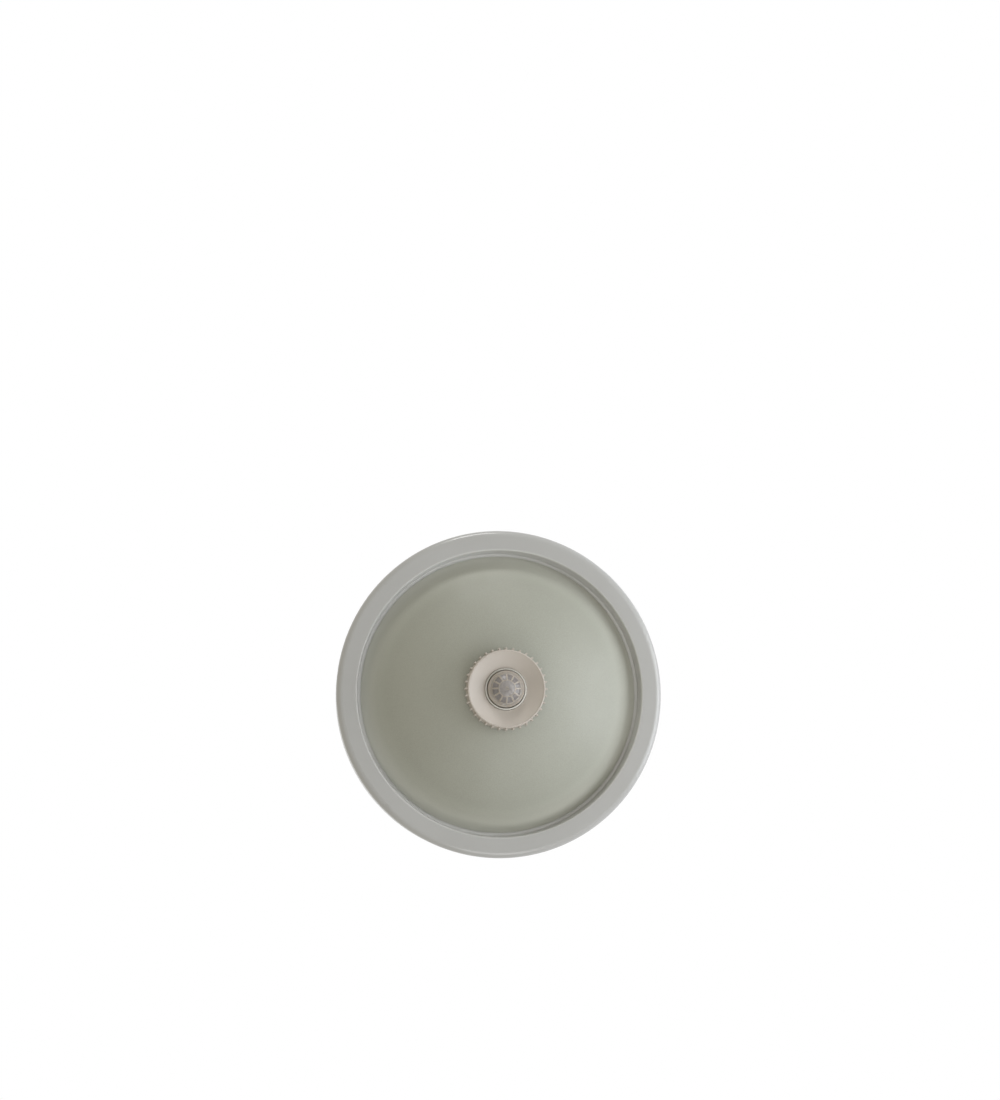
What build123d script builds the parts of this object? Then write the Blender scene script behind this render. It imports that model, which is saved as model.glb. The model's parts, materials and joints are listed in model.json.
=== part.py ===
from build123d import *

import os
from math import acos, atan2, cos, degrees, hypot, radians, sin, sqrt, tan

# The ceiling is the plane z = 0 and the light hangs down from it, so every level below it is negative.
# The light's axis is the Z axis. Lengths are in millimetres.

# Rim and pan
overall_diameter = 300
rim_height = 48
sheet = 1.0
rim_roll_radius = 6.0
rim_face_width = 19.0
throat_draft = 0.3
throat_edge_radius = 1.5
seat_depth = 28.5
seat_root_radius = 1.2
ledge_width = 10.5
well_edge_radius = 1.3
well_draft = 2.5
well_corner_radius = 2.0
floor_gap = 3.0
bead_setback = 8.5
bead_height = 1.5
bead_width = 5.0
bead_fillet = 1.5

# Fixing slots in the floor of the pan
slot_setback = 20.0
slot_length = 16.0
slot_width = 5.5
pad_length = 34.0
pad_width = 22.0
pad_slope = 45

# Glass shade
glass_side_gap = 3.5
glass_crown_depth = 85.0
glass_thickness = 4.0
glass_hole_radius = 22.5
glass_arris = 0.6

# Gaps between pieces
seat_gap = 0.3
board_gap = 0.8
hole_clearance = 0.15
running_clearance = 0.6

# Seat gasket under the glass edge
gasket_inset = 0.2
gasket_width = 4.6
gasket_thickness = 1.2

# Sensor housing
shoulder_width = 11.6
housing_wall = 2.0
flange_width = 6.0
flange_thickness = 2.5
flange_rounding = 0.5
shoulder_depth = 54.0
shoulder_fillet = 2.5
neck_radius = 18.4
neck_wall = 1.2
neck_end_proud = 1.0
neck_foot_fillet = 1.0
neck_end_rounding = 0.3
ledge_ring_setback = 8.0
ledge_ring_width = 3.2
post_radius = 3.0
post_setback = 7.2
post_angles = (30, 150, 270)
notch_width = 13.0
notch_height = 8.0
notch_rounding = 2.0
notch_level = 11.5
notch_angles = (180, 118, 298)

# Ring nut and its washer
nut_radius = 35.5
nut_rim_radius = 34.6
nut_seat_rise = 0.4
nut_height = 12.4
nut_dish_depth = 7.0
nut_spigot_length = 7.6
nut_spigot_wall = 2.5
nut_spigot_rounding = 0.4
nut_wall = 2.2
nut_rim_rounding = 0.7
nut_rim_width = 1.5
nut_rim_step = 0.5
nut_step_rounding = 0.3
nut_lip_rounding = 0.3
nut_lip_width = 0.8
nut_core_relief = 1.0
rib_count = 36
rib_radius = 0.8
rib_height = 1.4
rib_end_gap = 1.6
washer_radius = 33.0

# Lens cap
lens_collar_radius = 16.4
lens_collar_height = 3.1
lens_collar_rounding = 0.8
lens_dome_radius = 13.2
lens_dome_height = 6.8
lens_shoulder_rise = 0.9
lens_wall = 1.2
lens_foot_height = 1.4
window_count = 12
window_inner_radius = 7.8
window_outer_radius = 12.8
window_bar = 1.3
window_depth = 0.3

# Boards and what they carry
board_thickness = 1.6
control_board_depth = 46.0
sensor_board_thickness = 1.4
detector_radius = 4.6
detector_height = 4.0
detector_flange = 0.5
cell_radius = 2.5
cell_height = 2.2
cell_chamfer = 0.3
cell_place = (8.0, -6.0)
relay_size = (19.0, 15.5, 15.5)
relay_place = (6.0, 6.0)
film_capacitor_size = (18.0, 8.5, 14.0)
film_capacitor_place = (4.0, -10.0)
round_capacitor_radius = 4.0
round_capacitor_height = 12.0
round_capacitor_place = (-11.0, 1.0)
round_capacitor_rounding = 0.6
component_rounding = 1.0
component_chamfer = 0.6
lead_width = 6.0
lead_thickness = 1.2
lead_place = (0.0, 9.0)

# Control knobs on the shoulder
knob_neck_gap = 1.0
knob_radius = 3.4
knob_height = 3.0
knob_taper = 4
knob_rounding = 0.4
knob_shaft_radius = 1.8
knob_slot_width = 1.0
knob_slot_depth = 1.0
knob_angles = {"time": 248, "lux": 292}
trimmer_side = 8.0
trimmer_height = 3.7
trimmer_rounding = 0.6

# Lampholders and bulbs; x runs along the bulb, from its cap to its crown
lamp_housing_gap = 3.5
lamp_depth = 29.5
holder_back_x = -56.0
holder_length = 42.0
holder_base_length = 12.0
holder_base_side = 30.0
holder_base_rounding = 4.0
holder_radius = 19.5
holder_flare_length = 4.0
holder_lip = 1.2
socket_radius = 14.4
socket_depth = 27.0
shell_wall = 0.4
shell_mouth_recess = 3.0
shell_rounding = 1.2
shell_floor_width = 3.0
contact_width = 6.0
contact_thickness = 0.5
contact_bend_radius = 0.8
contact_foot_length = 3.0
contact_tip_length = 2.0
bracket_thickness = 1.5
bracket_bend_radius = 3.0
bracket_foot_length = 18.0
bracket_drop = 42.0
holder_screw_spacing = 18.0
holder_hole_cover = 2.0
holder_screw_cover = 4.0
rivet_spacing = 18.0
rivet_setback = 10.0
bulb_radius = 22.5
bulb_length_past_cap = 51.5
bulb_wall = 1.0
bulb_neck_radius = 12.4
bulb_neck_overlap = 4.0
bulb_cap_radius = 13.2
bulb_cap_wall = 0.4
bulb_cap_proud = 3.0
bulb_cap_straight = 21.0
bulb_cap_end_radius = 8.5
bulb_cap_taper = 3.0
bulb_cap_rounding = 2.0
bulb_insulator_radius = 7.6
bulb_insulator_length = 3.5
bulb_contact_radius = 4.6
bulb_contact_height = 1.0
bulb_contact_taper = 30

# Terminal block, earth clamp, cable entry and wires
block_entry_spacing = 30.0
block_length = 17.0
pole_pitch = 8.5
pole_count = 3
barrel_radius = 4.1
tower_radius = 3.1
block_height = 14.0
block_base_height = 3.0
block_rounding = 1.0
wire_hole_radius = 1.9
clamp_radius = 2.7
clamp_bore_radius = 1.5
clamp_recess = 2.0
clamp_level = 10.0
clamp_screw_radius = 1.4
clamp_screw_spacing = 8.0
earth_clamp_place = (-62.0, -27.0)
earth_clamp_side = 8.0
earth_clamp_height = 6.5
earth_clamp_rounding = 0.8
earth_clamp_chamfer = 0.5
cable_entry_setback = 26.0
cable_hole_radius = 9.0
grommet_lip = 3.0
grommet_lip_thickness = 2.0
grommet_lip_chamfer = 1.0
grommet_bore_radius = 5.5
membrane_thickness = 1.2
membrane_drop = 5.0
wire_radius = 1.0
earth_wire_depth = 8.0
switched_wire_depth = 24.0
neutral_wire_depth = 28.0
bend_share = 0.45

# Screws and rivets
screw_radius = 2.0
screw_head_radius = 2.9
screw_head_height = 2.0
screw_head_taper = 40
screw_slot_width = 0.8
screw_slot_depth = 0.9
board_screw_radius = 1.2
block_screw_radius = 1.4
block_screw_head_radius = 2.4
board_screw_head_radius = 2.5
board_screw_head_height = 1.6
rivet_radius = 2.0
rivet_head_radius = 3.6
rivet_head_height = 1.8
rivet_head_rounding = 1.4
rivet_tail_radius = 3.0
rivet_tail_height = 1.2

# Radii and places worked out from the sizes above
rim_radius = overall_diameter / 2
throat_radius = rim_radius - rim_face_width
well_radius = throat_radius - ledge_width
well_foot_radius = well_radius - well_draft
bead_radius = well_foot_radius - bead_setback
slot_spacing = 2 * (well_foot_radius - slot_setback)
glass_edge_radius = throat_radius - glass_side_gap
gasket_radius = glass_edge_radius - gasket_inset
housing_radius = neck_radius + shoulder_width
flange_radius = housing_radius + flange_width
post_circle_radius = housing_radius - post_setback
nut_bore_radius = neck_radius + running_clearance
knob_circle_radius = neck_radius + knob_neck_gap + knob_radius
lamp_offset = housing_radius + lamp_housing_gap + bulb_radius
cable_entry_x = cable_entry_setback - well_foot_radius
block_x = cable_entry_x + block_entry_spacing

# Levels worked out from the sizes above
floor_z = -floor_gap - sheet
floor_back_z = -floor_gap
rim_z = -rim_height
seat_z = -seat_depth
gasket_face_z = seat_z - gasket_thickness
glass_edge_z = gasket_face_z - seat_gap
shoulder_z = -shoulder_depth
shoulder_back_z = shoulder_z + housing_wall
flange_z = floor_z - flange_thickness
board_z = -control_board_depth
board_back_z = board_z + board_thickness
post_length = shoulder_back_z - board_z
nut_seat_z = nut_seat_rise - glass_crown_depth
nut_rim_z = nut_seat_z - nut_height
nut_lip_z = nut_rim_z + nut_dish_depth
neck_end_z = nut_lip_z - neck_end_proud
ledge_ring_z = neck_end_z + ledge_ring_setback
lamp_z = -lamp_depth
holder_mouth_x = holder_back_x + holder_length
bulb_cap_edge_x = holder_mouth_x + bulb_cap_proud
bulb_crown_x = bulb_cap_edge_x + bulb_length_past_cap

# The glass is part of a sphere through its edge and its crown
glass_rise = glass_crown_depth + glass_edge_z
glass_sphere_radius = (glass_edge_radius**2 + glass_rise**2) / (2 * glass_rise)
glass_centre_z = glass_sphere_radius - glass_crown_depth


def sphere_level(sphere_radius, radius):
    """Level of a sphere about the centre of the glass, at a distance from the light's axis."""
    return glass_centre_z - sqrt(sphere_radius**2 - radius**2)


def sphere_point(sphere_radius, radius):
    """Point of that sphere in the section plane."""
    return (radius, sphere_level(sphere_radius, radius))


def sphere_radius_at(sphere_radius, level):
    """Distance from the light's axis at which that sphere reaches a level."""
    return sqrt(sphere_radius**2 - (glass_centre_z - level) ** 2)


def lamp_point(side, x, y, z):
    """A point of one lamp's place; the second lamp is the first one turned half round."""
    return (side * x, side * (lamp_offset + y), z)


def lamp_section(side):
    """Plane along a lamp's axis: its x runs from cap to crown and its y is up."""
    return Plane(origin=(0, side * lamp_offset, lamp_z), x_dir=(side, 0, 0), z_dir=(0, -side, 0))


def lamp_axis(side):
    """Axis of one lamp, from cap to crown."""
    return Axis((0, side * lamp_offset, lamp_z), (side, 0, 0))


def lamp_cross_plane(side, x):
    """Plane square to a lamp's axis, facing the crown, with its y up."""
    return Plane(origin=lamp_point(side, x, 0, lamp_z), x_dir=(0, side, 0), z_dir=(side, 0, 0))


def polar_point(radius, angle):
    """Point on a circle about the light's axis."""
    return (radius * cos(radians(angle)), radius * sin(radians(angle)))


# Places of the fasteners that pass through the floor of the pan
housing_screw_circle = (housing_radius + flange_radius) / 2
housing_screw_angles = (90, 210, 330)
housing_screw_places = [polar_point(housing_screw_circle, angle) for angle in housing_screw_angles]
block_screw_place = (block_x, pole_pitch / 2)
rivet_x = holder_back_x - rivet_setback
rivet_places = [
    lamp_point(side, rivet_x, y, 0)[:2] for side in (1, -1) for y in (-rivet_spacing / 2, rivet_spacing / 2)
]

os.makedirs("parts", exist_ok=True)

# Base pan: one pressed sheet with a sunk floor, a well, a ledge for the glass, a flat face and a rolled edge
with BuildPart() as base_pan:
    with BuildSketch(Plane.XZ):
        with BuildLine():
            bead_foot = bead_width / 2 + bead_height
            pan_skin = FilletPolyline(
                (0, floor_z),
                (bead_radius - bead_foot, floor_z),
                (bead_radius - bead_width / 2, floor_z - bead_height),
                (bead_radius + bead_width / 2, floor_z - bead_height),
                (bead_radius + bead_foot, floor_z),
                (well_foot_radius, floor_z),
                (well_radius, seat_z),
                (throat_radius - throat_draft, seat_z),
                (throat_radius, rim_z),
                (rim_radius, rim_z),
                (rim_radius, 0),
                radius=(
                    bead_fillet,
                    bead_fillet,
                    bead_fillet,
                    bead_fillet,
                    well_corner_radius,
                    well_edge_radius,
                    seat_root_radius,
                    throat_edge_radius,
                    rim_roll_radius,
                ),
            )
            offset(pan_skin, amount=sheet, side=Side.LEFT)
        make_face()
    revolve(axis=Axis.Z)
    # Two pads are pressed back to the ceiling round the fixing slots
    with BuildSketch(Plane.XY.offset(floor_back_z)):
        with Locations((0, slot_spacing / 2), (0, -slot_spacing / 2)):
            SlotOverall(pad_length, pad_width, rotation=90)
    extrude(amount=floor_gap, taper=pad_slope)
    pad_inset = sheet * tan(radians(pad_slope) / 2)
    with BuildSketch(Plane.XY.offset(floor_z)):
        with Locations((0, slot_spacing / 2), (0, -slot_spacing / 2)):
            SlotOverall(pad_length - 2 * pad_inset, pad_width - 2 * pad_inset, rotation=90)
    extrude(amount=floor_gap, taper=pad_slope, mode=Mode.SUBTRACT)
    with BuildSketch(Plane.XY.offset(-sheet)):
        with Locations((0, slot_spacing / 2), (0, -slot_spacing / 2)):
            SlotOverall(slot_length, slot_width, rotation=90)
    extrude(amount=sheet, mode=Mode.SUBTRACT)
    # Holes of the fasteners and of the cable entry
    with BuildSketch(Plane.XY.offset(floor_z)):
        with Locations(*housing_screw_places, earth_clamp_place):
            Circle(screw_radius + hole_clearance)
        with Locations(block_screw_place):
            Circle(block_screw_radius + hole_clearance)
        with Locations(*rivet_places):
            Circle(rivet_radius + hole_clearance)
        with Locations((cable_entry_x, 0)):
            Circle(cable_hole_radius)
    extrude(amount=sheet, mode=Mode.SUBTRACT)
base_pan.part.label = "base_pan"
export_step(base_pan.part, "parts/base_pan.step")

# Seat gasket: a soft flat ring on the pan's ledge, under the ground edge of the glass
with BuildPart() as seat_gasket:
    with BuildSketch(Plane.XY.offset(gasket_face_z)):
        Circle(gasket_radius)
        Circle(gasket_radius - gasket_width, mode=Mode.SUBTRACT)
    extrude(amount=gasket_thickness)
seat_gasket.part.label = "seat_gasket"
export_step(seat_gasket.part, "parts/seat_gasket.step")

# Glass shade: a dome of even thickness with a ground flat edge and a round hole
glass_inner_sphere = glass_sphere_radius - glass_thickness
glass_inner_edge = sphere_radius_at(glass_inner_sphere, glass_edge_z)
glass_mid_radius = glass_edge_radius / 2
with BuildPart() as glass_shade:
    with BuildSketch(Plane.XZ):
        with BuildLine():
            outer_arc = ThreePointArc(
                sphere_point(glass_sphere_radius, glass_hole_radius),
                sphere_point(glass_sphere_radius, glass_mid_radius),
                (glass_edge_radius, glass_edge_z),
            )
            inner_arc = ThreePointArc(
                sphere_point(glass_inner_sphere, glass_hole_radius),
                sphere_point(glass_inner_sphere, glass_mid_radius),
                (glass_inner_edge, glass_edge_z),
            )
            Line(outer_arc @ 0, inner_arc @ 0)
            Line(outer_arc @ 1, inner_arc @ 1)
        make_face()
    revolve(axis=Axis.Z)
    hole_rims = glass_shade.edges().filter_by(GeomType.CIRCLE).group_by(SortBy.RADIUS)[0]
    chamfer(hole_rims, glass_arris)
glass_shade.part.label = "glass_shade"
export_step(glass_shade.part, "parts/glass_shade.step")

# Nut washer: moulded rubber, flat under the nut and hollowed to the dome on its other side
washer_bore = nut_bore_radius + nut_spigot_wall + seat_gap
washer_sphere = glass_sphere_radius + seat_gap
with BuildPart() as nut_washer:
    with BuildSketch(Plane.XZ):
        with BuildLine():
            washer_arc = ThreePointArc(
                sphere_point(washer_sphere, washer_bore),
                sphere_point(washer_sphere, (washer_bore + washer_radius) / 2),
                sphere_point(washer_sphere, washer_radius),
            )
            Polyline(washer_arc @ 1, (washer_radius, nut_seat_z), (washer_bore, nut_seat_z), washer_arc @ 0)
        make_face()
    revolve(axis=Axis.Z)
nut_washer.part.label = "nut_washer"
export_step(nut_washer.part, "parts/nut_washer.step")

# Ring nut: ribbed side, raised rim, dished face down to the bore, and a spigot that centres the glass
spigot_radius = nut_bore_radius + nut_spigot_wall
dish_outer_radius = nut_rim_radius - nut_rim_width
dish_inner_radius = nut_bore_radius + nut_lip_width
core_inner_radius = spigot_radius + seat_gap + nut_wall
core_outer_radius = nut_radius - nut_wall
dish_outer_z = nut_rim_z + nut_rim_step
dish_slope = (dish_outer_z - nut_lip_z) / (dish_outer_radius - dish_inner_radius)


def dish_level(radius):
    """Level of the dished face at a distance from the axis."""
    return nut_lip_z + dish_slope * (radius - dish_inner_radius)


core_inner_z = dish_level(core_inner_radius) + nut_wall
core_outer_z = dish_level(core_outer_radius) + nut_wall + nut_core_relief
with BuildPart() as ring_nut:
    with BuildSketch(Plane.XZ):
        with BuildLine():
            FilletPolyline(
                (nut_bore_radius, nut_seat_z + nut_spigot_length),
                (nut_bore_radius, nut_lip_z),
                (dish_inner_radius, nut_lip_z),
                (dish_outer_radius, dish_outer_z),
                (dish_outer_radius, nut_rim_z),
                (nut_rim_radius, nut_rim_z),
                (nut_radius, nut_seat_z),
                (spigot_radius, nut_seat_z),
                (spigot_radius, nut_seat_z + nut_spigot_length),
                radius=(
                    0,
                    nut_lip_rounding,
                    2 * nut_lip_width,
                    nut_step_rounding,
                    nut_step_rounding,
                    nut_rim_rounding,
                    nut_lip_rounding,
                    0,
                    nut_spigot_rounding,
                ),
                close=True,
            )
        make_face()
    revolve(axis=Axis.Z)
    # The moulding is cored out from its seat side
    with BuildSketch(Plane.XZ):
        with BuildLine():
            Polyline(
                (core_inner_radius, nut_seat_z),
                (core_outer_radius, nut_seat_z),
                (core_outer_radius - nut_rim_width, core_outer_z),
                (core_inner_radius, core_inner_z),
                close=True,
            )
        make_face()
    revolve(axis=Axis.Z, mode=Mode.SUBTRACT)
    # Finger ribs round the side, stopping short of the rim
    with BuildSketch(Plane.XY.offset(nut_seat_z - seat_gap)):
        with PolarLocations(nut_radius + rib_height - rib_radius, rib_count):
            Circle(rib_radius)
            with Locations((-rib_radius, 0)):
                Rectangle(2 * rib_radius, 2 * rib_radius)
    extrude(amount=-(nut_height - seat_gap - rib_end_gap))
ring_nut.part.label = "ring_nut"
export_step(ring_nut.part, "parts/ring_nut.step")

# Sensor housing: flange, column, shoulder and the neck that the nut screws on
neck_bore = neck_radius - neck_wall
with BuildPart() as sensor_housing:
    with BuildSketch(Plane.XZ):
        with BuildLine():
            ledge_back_z = ledge_ring_z + housing_wall
            FilletPolyline(
                (housing_radius - housing_wall, floor_z),
                (flange_radius, floor_z),
                (flange_radius, flange_z),
                (housing_radius, flange_z),
                (housing_radius, shoulder_z),
                (neck_radius, shoulder_z),
                (neck_radius, neck_end_z),
                (neck_bore, neck_end_z),
                (neck_bore, ledge_ring_z),
                (neck_bore - ledge_ring_width, ledge_ring_z),
                (neck_bore - ledge_ring_width, ledge_back_z),
                (neck_bore, ledge_back_z),
                (neck_bore, shoulder_back_z),
                (housing_radius - housing_wall, shoulder_back_z),
                radius=(
                    0,
                    flange_rounding,
                    flange_rounding,
                    0,
                    shoulder_fillet,
                    neck_foot_fillet,
                    neck_end_rounding,
                    neck_end_rounding,
                    0,
                    0,
                    0,
                    0,
                    0,
                    0,
                ),
                close=True,
            )
        make_face()
    revolve(axis=Axis.Z)
    # Posts under the shoulder for the control board
    with BuildSketch(Plane.XY.offset(shoulder_back_z)):
        with Locations(*[polar_point(post_circle_radius, angle) for angle in post_angles]):
            Circle(post_radius)
            Circle(board_screw_radius + hole_clearance, mode=Mode.SUBTRACT)
    extrude(amount=-post_length)
    # Holes for the screws of the flange
    with BuildSketch(Plane.XY.offset(floor_z)):
        with Locations(*housing_screw_places):
            Circle(screw_radius + hole_clearance)
    extrude(amount=-flange_thickness, mode=Mode.SUBTRACT)
    # Holes for the knob shafts
    with BuildSketch(Plane.XY.offset(shoulder_back_z)):
        with Locations(*[polar_point(knob_circle_radius, angle) for angle in knob_angles.values()]):
            Circle(knob_shaft_radius + hole_clearance)
    extrude(amount=-housing_wall, mode=Mode.SUBTRACT)
    # Notches in the wall of the column for the wires
    for angle in notch_angles:
        outward = polar_point(1, angle)
        with BuildSketch(
            Plane(
                origin=(0, 0, -notch_level),
                x_dir=(-outward[1], outward[0], 0),
                z_dir=(outward[0], outward[1], 0),
            )
        ):
            RectangleRounded(notch_width, notch_height, notch_rounding)
        extrude(amount=flange_radius, mode=Mode.SUBTRACT)
sensor_housing.part.label = "sensor_housing"
export_step(sensor_housing.part, "parts/sensor_housing.step")


def build_screws(plane, places, shank_radius, shank_length, head_radius, head_height):
    """Slotted pan head screws whose heads stand on a plane, with their shanks behind it."""
    with BuildPart() as screws:
        with BuildSketch(plane):
            with Locations(*places):
                Circle(head_radius)
        extrude(amount=head_height / 2)
        with BuildSketch(plane.offset(head_height / 2)):
            with Locations(*places):
                Circle(head_radius)
        extrude(amount=head_height / 2, taper=screw_head_taper)
        with BuildSketch(plane):
            with Locations(*places):
                Circle(shank_radius)
        extrude(amount=-shank_length)
        with BuildSketch(plane.offset(head_height)):
            with Locations(*places):
                Rectangle(2 * head_radius, screw_slot_width)
        extrude(amount=-screw_slot_depth, mode=Mode.SUBTRACT)
    return screws.part


# Screws of the housing, through its flange and the floor of the pan
housing_screws = build_screws(
    Plane((0, 0, flange_z), x_dir=(1, 0, 0), z_dir=(0, 0, -1)),
    [(x, -y) for x, y in housing_screw_places],
    screw_radius,
    flange_thickness + sheet + floor_gap / 2,
    screw_head_radius,
    screw_head_height,
)
housing_screws.label = "housing_screws"
export_step(housing_screws, "parts/housing_screws.step")

# Lens cap: a foot in the neck, a collar that stands clear of it, a sloped shoulder and a dome of windows
dome_base_z = neck_end_z - lens_collar_height - lens_shoulder_rise
dome_apex_z = dome_base_z - lens_dome_height
dome_sphere = (lens_dome_radius**2 + lens_dome_height**2) / (2 * lens_dome_height)
dome_centre_z = dome_apex_z + dome_sphere
lens_foot_radius = neck_bore - seat_gap
lens_foot_z = ledge_ring_z - sensor_board_thickness - seat_gap


def dome_point(sphere_radius, radius):
    """Point of a sphere about the centre of the lens dome, in the section plane."""
    return (radius, dome_centre_z - sqrt(sphere_radius**2 - radius**2))


with BuildPart() as lens_cap:
    with BuildSketch(Plane.XZ):
        with BuildLine():
            dome_line = ThreePointArc(
                dome_point(dome_sphere, lens_dome_radius),
                dome_point(dome_sphere, lens_dome_radius / 2),
                (0, dome_apex_z),
            )
            inner_dome_radius = lens_dome_radius - lens_wall
            inner_dome_line = ThreePointArc(
                (0, dome_apex_z + lens_wall),
                dome_point(dome_sphere - lens_wall, inner_dome_radius / 2),
                dome_point(dome_sphere - lens_wall, inner_dome_radius),
            )
            Line(dome_line @ 1, inner_dome_line @ 0)
            collar_end_z = neck_end_z - lens_collar_height
            lens_bore = lens_collar_radius - lens_wall
            Polyline(
                inner_dome_line @ 1,
                (lens_bore, collar_end_z + lens_wall),
                (lens_bore, lens_foot_z),
                (lens_foot_radius, lens_foot_z),
                (lens_foot_radius, lens_foot_z - lens_foot_height),
                (lens_collar_radius, lens_foot_z - lens_foot_height),
                (lens_collar_radius, collar_end_z + lens_collar_rounding),
                (lens_collar_radius - lens_collar_rounding, collar_end_z),
                dome_line @ 0,
            )
        make_face()
    revolve(axis=Axis.Z)
    # Windows are shallow panels between bars, each cut as one sector of a thin band of the dome
    window_pitch = 360 / window_count
    window_span = window_pitch - degrees(window_bar / window_outer_radius)
    for number in range(window_count):
        start_angle = number * window_pitch + (window_pitch - window_span) / 2
        with BuildSketch(Plane.XZ.rotated((0, 0, start_angle))):
            with BuildLine():
                panel_line = ThreePointArc(
                    dome_point(dome_sphere - window_depth, window_inner_radius),
                    dome_point(dome_sphere - window_depth, (window_inner_radius + window_outer_radius) / 2),
                    dome_point(dome_sphere - window_depth, window_outer_radius),
                )
                clear_line = ThreePointArc(
                    dome_point(dome_sphere + window_depth, window_inner_radius),
                    dome_point(dome_sphere + window_depth, (window_inner_radius + window_outer_radius) / 2),
                    dome_point(dome_sphere + window_depth, window_outer_radius),
                )
                Line(panel_line @ 0, clear_line @ 0)
                Line(panel_line @ 1, clear_line @ 1)
            make_face()
        revolve(axis=Axis.Z, revolution_arc=window_span, mode=Mode.SUBTRACT)
lens_cap.part.label = "lens_cap"
export_step(lens_cap.part, "parts/lens_cap.step")

# Sensor board on the ledge in the neck, with the infrared detector and the light cell
sensor_board_z = ledge_ring_z - sensor_board_thickness
with BuildPart() as sensor_board:
    with BuildSketch(Plane.XY.offset(sensor_board_z)):
        Circle(neck_bore - seat_gap)
    extrude(amount=sensor_board_thickness)
sensor_board.part.label = "sensor_board"
export_step(sensor_board.part, "parts/sensor_board.step")

with BuildPart() as infrared_detector:
    with BuildSketch(Plane.XY.offset(sensor_board_z)):
        Circle(detector_radius)
    extrude(amount=-detector_flange)
    with BuildSketch(Plane.XY.offset(sensor_board_z - detector_flange)):
        Circle(detector_radius - detector_flange)
    extrude(amount=-(detector_height - detector_flange))
    detector_top = infrared_detector.faces().sort_by(Axis.Z)[0]
    fillet(detector_top.edges(), detector_flange)
infrared_detector.part.label = "infrared_detector"
export_step(infrared_detector.part, "parts/infrared_detector.step")

with BuildPart() as light_cell:
    with BuildSketch(Plane.XY.offset(sensor_board_z)):
        with Locations(cell_place):
            Circle(cell_radius)
    extrude(amount=-cell_height)
    chamfer(light_cell.faces().sort_by(Axis.Z)[0].edges(), cell_chamfer)
light_cell.part.label = "light_cell"
export_step(light_cell.part, "parts/light_cell.step")

# Control board on the posts of the housing
control_board_radius = housing_radius - housing_wall - board_gap
with BuildPart() as control_board:
    with BuildSketch(Plane.XY.offset(board_z)):
        Circle(control_board_radius)
        with Locations(*[polar_point(post_circle_radius, angle) for angle in post_angles]):
            Circle(board_screw_radius + hole_clearance, mode=Mode.SUBTRACT)
    extrude(amount=board_thickness)
control_board.part.label = "control_board"
export_step(control_board.part, "parts/control_board.step")

board_screws = build_screws(
    Plane.XY.offset(board_back_z),
    [polar_point(post_circle_radius, angle) for angle in post_angles],
    board_screw_radius,
    board_thickness + post_length - board_gap,
    board_screw_head_radius,
    board_screw_head_height,
)
board_screws.label = "board_screws"
export_step(board_screws, "parts/board_screws.step")

# Lead between the two boards, a flat ribbon down the neck
with BuildPart() as sensor_lead:
    with BuildSketch(Plane.XY.offset(board_z)):
        with Locations(lead_place):
            Rectangle(lead_width, lead_thickness)
    extrude(amount=ledge_ring_z - board_z)
sensor_lead.part.label = "sensor_lead"
export_step(sensor_lead.part, "parts/sensor_lead.step")

# Parts on the ceiling side of the control board
for block_name, block_size, block_place in (
    ("relay", relay_size, relay_place),
    ("film_capacitor", film_capacitor_size, film_capacitor_place),
):
    with BuildPart() as component:
        with BuildSketch(Plane.XY.offset(board_back_z)):
            with Locations(block_place):
                RectangleRounded(block_size[0], block_size[1], component_rounding)
        extrude(amount=block_size[2])
        chamfer(component.faces().sort_by(Axis.Z)[-1].edges(), component_chamfer)
    component.part.label = block_name
    export_step(component.part, f"parts/{block_name}.step")

with BuildPart() as round_capacitor:
    with BuildSketch(Plane.XY.offset(board_back_z)):
        with Locations(round_capacitor_place):
            Circle(round_capacitor_radius)
    extrude(amount=round_capacitor_height)
    fillet(round_capacitor.faces().sort_by(Axis.Z)[-1].edges(), round_capacitor_rounding)
round_capacitor.part.label = "round_capacitor"
export_step(round_capacitor.part, "parts/round_capacitor.step")

# Trimmers under the control board, and the knobs on the shoulder that turn them
knob_head_z = shoulder_z - seat_gap
for control, angle in knob_angles.items():
    knob_place = polar_point(knob_circle_radius, angle)
    with BuildPart() as trimmer:
        with BuildSketch(Plane.XY.offset(board_z)):
            with Locations(Location((*knob_place, 0), (0, 0, angle))):
                RectangleRounded(trimmer_side, trimmer_side, trimmer_rounding)
        extrude(amount=-trimmer_height)
    trimmer.part.label = f"{control}_trimmer"
    export_step(trimmer.part, f"parts/{control}_trimmer.step")

    with BuildPart() as knob:
        with BuildSketch(Plane.XY.offset(knob_head_z)):
            with Locations(knob_place):
                Circle(knob_radius)
        extrude(amount=-knob_height, taper=knob_taper)
        knob_top = knob.faces().sort_by(Axis.Z)[0]
        fillet(knob_top.edges(), knob_rounding)
        with BuildSketch(Plane.XY.offset(knob_head_z)):
            with Locations(knob_place):
                Circle(knob_shaft_radius)
        extrude(amount=board_z - trimmer_height - seat_gap - knob_head_z)
        with BuildSketch(Plane.XY.offset(knob_head_z - knob_height)):
            with Locations(Location((*knob_place, 0), (0, 0, angle))):
                with Locations((knob_radius / 2, 0)):
                    Rectangle(knob_radius, knob_slot_width)
        extrude(amount=knob_slot_depth, mode=Mode.SUBTRACT)
    knob.part.label = f"{control}_knob"
    export_step(knob.part, f"parts/{control}_knob.step")

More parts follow.
